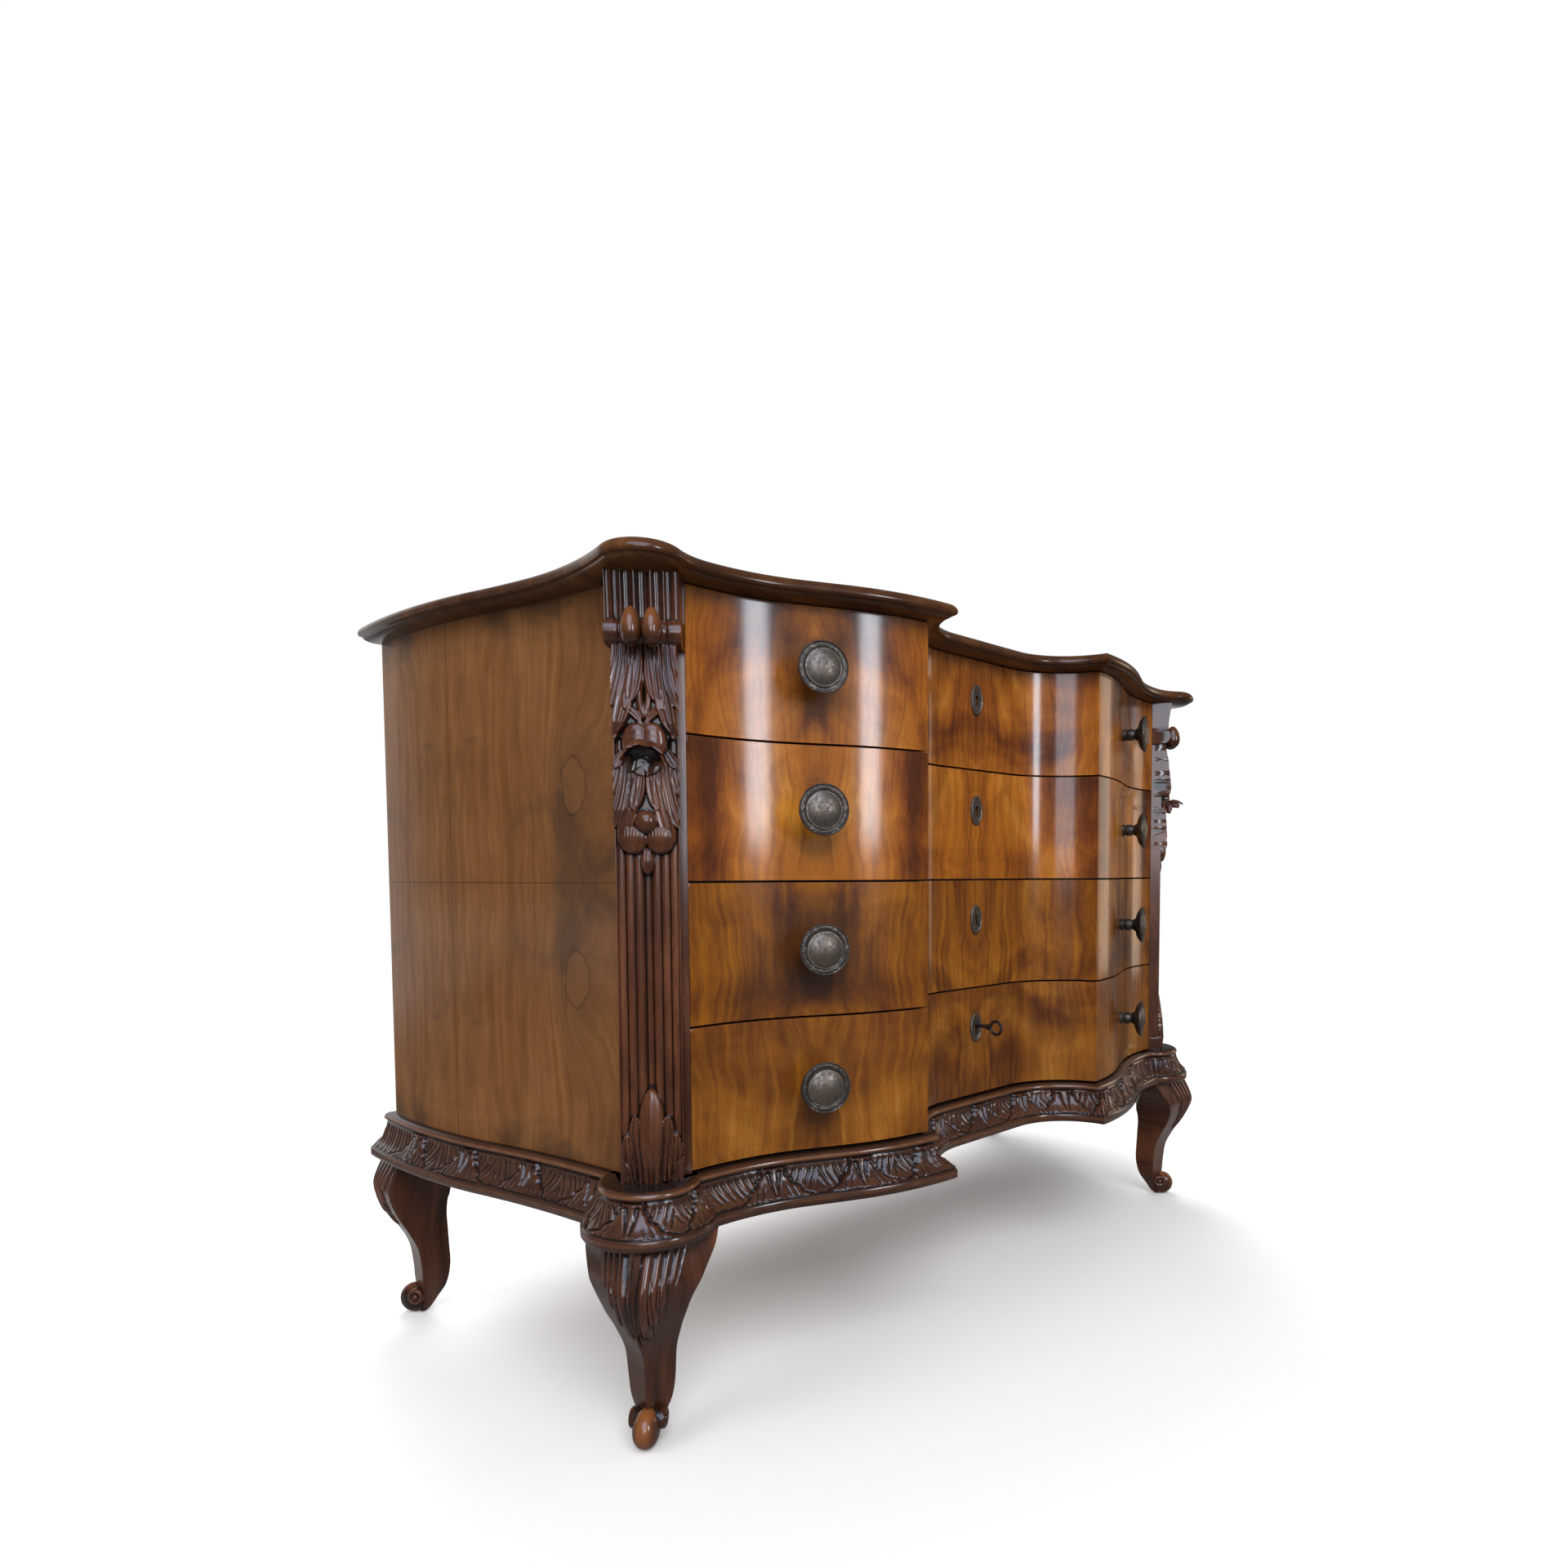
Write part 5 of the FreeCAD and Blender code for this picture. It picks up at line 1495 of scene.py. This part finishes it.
# %% Finishes of the kept solids
KEPT = {"lock": STEEL, "bolt": STEEL, "key": IRON, "divider_rails": MOULDED, "top_rail": MOULDED,
        "bottom_rail": MOULDED, "bottom": PINE_FLAT, "floor_board": PINE_FLAT, "sides": PINE_DEEP,
        "runners": PINE_DEEP, "guides": PINE_DEEP}
for name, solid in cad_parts.items():
    wanted = next((KEPT[word] for word in KEPT if name == word or name.endswith("_" + word)), PINE)
    solid.data.materials.clear()
    solid.data.materials.append(wanted)
print("finished", len(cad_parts), "solids")

# %% [markdown]
# The photograph has a white ground with a soft grey shadow. The floor catches that shadow. Rays from the
# camera see it paler than it is, so that it is white outside the shadow, and farther off it turns into plain
# white. Where the polish mirrors the far floor in front of the case, it is as dark as the room.

# %% Floor
floor_mesh = bmesh.new()
bmesh.ops.create_grid(floor_mesh, x_segments=4, y_segments=4, size=14.0)
mesh = bpy.data.meshes.new("pale_floor")
floor_mesh.to_mesh(mesh)
floor_mesh.free()
floor = bpy.data.objects.new("pale_floor", mesh)
bpy.context.scene.collection.objects.link(floor)

WHITE = (1.0, 1.0, 1.0, 1.0)
FLOOR_TONE = 0.4
FLOOR_SEEN = 1.3
FOOTPRINT = (0.56, 0.26)
WHITE_FROM, WHITE_AT = 0.3, 0.9
ROOM_TONE = 0.12
SHADOW_LIFT = 0.08
material = bpy.data.materials.new("pale_floor")
material.use_nodes = True
tree = material.node_tree
tree.nodes.clear()
rays = node(tree, "LightPath").outputs
mirrored_ray = math_node(tree, "MAXIMUM", rays["Is Glossy Ray"], rays["Is Transmission Ray"])
seen = math_node(tree, "MAXIMUM", rays["Is Camera Ray"], mirrored_ray)
spot = split(tree, object_place(tree))
off_middle = [math_node(tree, "ABSOLUTE", spot[axis]) for axis in "XY"]
beyond = [minus(tree, off, half) for off, half in zip(off_middle, FOOTPRINT)]
away = length_of(tree, *[math_node(tree, "MAXIMUM", each, 0.0) for each in beyond])
far = times(tree, ranged(tree, away, WHITE_FROM, WHITE_AT), seen)
tone = math_node(tree, "MULTIPLY_ADD", rays["Is Camera Ray"], FLOOR_SEEN - FLOOR_TONE, FLOOR_TONE)
matt = node(tree, "BsdfDiffuse", {"Color": tone}).outputs[0]
lift = node(tree, "Emission", {"Color": WHITE, "Strength": rays["Is Camera Ray"]}).outputs[0]
matt = node(tree, "MixShader", {0: SHADOW_LIFT, 1: matt, 2: lift}).outputs[0]
room_side = ranged(tree, spot["Y"], 2.0, 3.5, ROOM_TONE, 1.0)
bright = math_node(tree, "MAXIMUM", room_side, minus(tree, 1.0, rays["Is Glossy Ray"]))
glow = node(tree, "Emission", {"Color": WHITE, "Strength": bright}).outputs[0]
both = node(tree, "MixShader", {0: far, 1: matt, 2: glow}).outputs[0]
node(tree, "OutputMaterial", {"Surface": both})
mesh.materials.append(material)
print("floor", len(mesh.polygons), "faces")

# %% [markdown]
# A tall window in front of the commode and a wider one to its left leave two streaks on each swell of the
# front. These windows are lamps that only the gloss sees, so that the streaks can be set without changing
# how light the wood is. A weak warm one stands to the right, and a wide bluish one hangs above the front
# left. Three large soft lamps light the wood. The front one leaves the floor out, and a weaker one in its
# place lights the floor alone, so that the depth of the shadow can be set on its own. The world is white to
# the camera, white behind the case and dark in front of it in reflections, and mid grey as general light.

# %% World and lamps
world = bpy.data.worlds.new("studio")
bpy.context.scene.world = world
world.use_nodes = True
tree = world.node_tree
tree.nodes.clear()
rays = node(tree, "LightPath").outputs
look = split(tree, node(tree, "TexCoord").outputs["Generated"])
behind = ranged(tree, look["Y"], 0.75, 0.95)
mirrored_room = blended(tree, behind, (0.13, 0.125, 0.12, 1.0), WHITE)
ambient = (0.42, 0.42, 0.43, 1.0)
seen = math_node(tree, "MAXIMUM", rays["Is Glossy Ray"], rays["Is Transmission Ray"])
sky = blended(tree, seen, ambient, mirrored_room)
sky = blended(tree, rays["Is Camera Ray"], sky, WHITE)
shade = node(tree, "Background", {"Color": sky, "Strength": 1.0}).outputs[0]
node(tree, "OutputWorld", {"Surface": shade})


def panel_lamp(name, place, aim, wide, high, radiance, colour, glossy):
    """An area lamp of a given radiance, for the gloss alone, as a window, or for all the rest."""
    lamp = bpy.data.lights.new(name, "AREA")
    lamp.shape = "RECTANGLE"
    lamp.size = wide
    lamp.size_y = high
    lamp.energy = radiance * math.pi * wide * high
    lamp.color = colour
    made = bpy.data.objects.new(name, lamp)
    made.location = place
    made.rotation_euler = (Vector(aim) - Vector(place)).to_track_quat("-Z", "Y").to_euler()
    made.visible_glossy = glossy
    made.visible_diffuse = not glossy
    bpy.context.scene.collection.objects.link(made)
    print("lamp", name, round(lamp.energy, 1), "W")
    return made


panel_lamp("tall_window", (0.22, -4.4, 1.6), (0.0, 0.0, 0.6), 0.66, 1.7, 19.0, (0.82, 0.9, 1.0), True)
panel_lamp("left_window", (-2.9, -4.0, 1.5), (0.0, 0.0, 0.5), 2.2, 1.8, 6.0, (0.8, 0.88, 1.0), True)
panel_lamp("right_window", (4.0, -1.2, 0.9), (0.2, -0.2, 0.5), 0.9, 2.2, 2.2, (1.0, 0.8, 0.6), True)
panel_lamp("sky_window", (-2.6, -3.0, 3.8), (0.0, 0.0, 0.4), 4.0, 3.0, 4.6, (0.54, 0.71, 1.0), True)
panel_lamp("back_lamp", (0.9, 1.9, 3.4), (0.0, 0.0, 0.4), 2.8, 2.6, 4.2, (1.0, 1.0, 1.0), False)
panel_lamp("side_lamp", (-4.4, 0.4, 2.6), (-0.5, 0.1, 0.5), 2.4, 2.2, 3.0, (1.0, 0.98, 0.95), False)
FRONT_PANEL = ((-1.7, -3.1, 3.6), (0.0, 0.0, 0.5), 3.0, 2.4)
front_lamp = panel_lamp("front_lamp", *FRONT_PANEL, 7.8, (1.0, 0.99, 0.97), False)
floor_lamp = panel_lamp("floor_lamp", *FRONT_PANEL, 4.2, (1.0, 1.0, 1.0), False)


def link_light(lamp, target, state):
    """A lamp that leaves one object out, or that lights nothing else."""
    linked = bpy.data.collections.new(lamp.name + "_links")
    linked.objects.link(target)
    linked.collection_objects[0].light_linking.link_state = state
    lamp.light_linking.receiver_collection = linked


link_light(front_lamp, floor, "EXCLUDE")
link_light(floor_lamp, floor, "INCLUDE")

# %% [markdown]
# The camera stands where the photographer stood: a little under a metre from the near corner, at table
# height and turned 44 degrees to the front. Its place and turn were found by matching corners of the CAD
# model to the picture. The lens shift puts the middle of the view where the picture has it.

# %% Camera
CAMERA_PLACE = (-0.95692, -0.99761, 0.576)
YAW, PITCH_DOWN, ROLL = 0.77058, -0.0522, 0.00255
PHOTO_SIDE = 1920
FOCAL_PIXELS = 1098.486
AXIS_PIXEL = (1080.448, 1128.442)
SENSOR = 36.0

ahead = Vector((math.sin(YAW), math.cos(YAW), 0.0))
forward = ahead * math.cos(PITCH_DOWN) + Vector((0.0, 0.0, math.sin(PITCH_DOWN)))
level = Vector((math.cos(YAW), -math.sin(YAW), 0.0))
down = forward.cross(level)
right = level * math.cos(ROLL) + down * math.sin(ROLL)
down = down * math.cos(ROLL) - level * math.sin(ROLL)
lens = bpy.data.cameras.new("photo_camera")
lens.sensor_width = SENSOR
lens.lens = FOCAL_PIXELS / PHOTO_SIDE * SENSOR
lens.shift_x = (PHOTO_SIDE / 2 - AXIS_PIXEL[0]) / PHOTO_SIDE
lens.shift_y = (AXIS_PIXEL[1] - PHOTO_SIDE / 2) / PHOTO_SIDE
lens.clip_start = 0.05
camera = bpy.data.objects.new("photo_camera", lens)
turned = Matrix((right, -down, -forward)).transposed().to_4x4()
camera.matrix_world = Matrix.Translation(CAMERA_PLACE) @ turned
bpy.context.scene.collection.objects.link(camera)
bpy.context.scene.camera = camera
bpy.context.scene.view_settings.view_transform = "Standard"
print("camera", round(lens.lens, 3), "mm, shift", round(lens.shift_x, 4), round(lens.shift_y, 4))
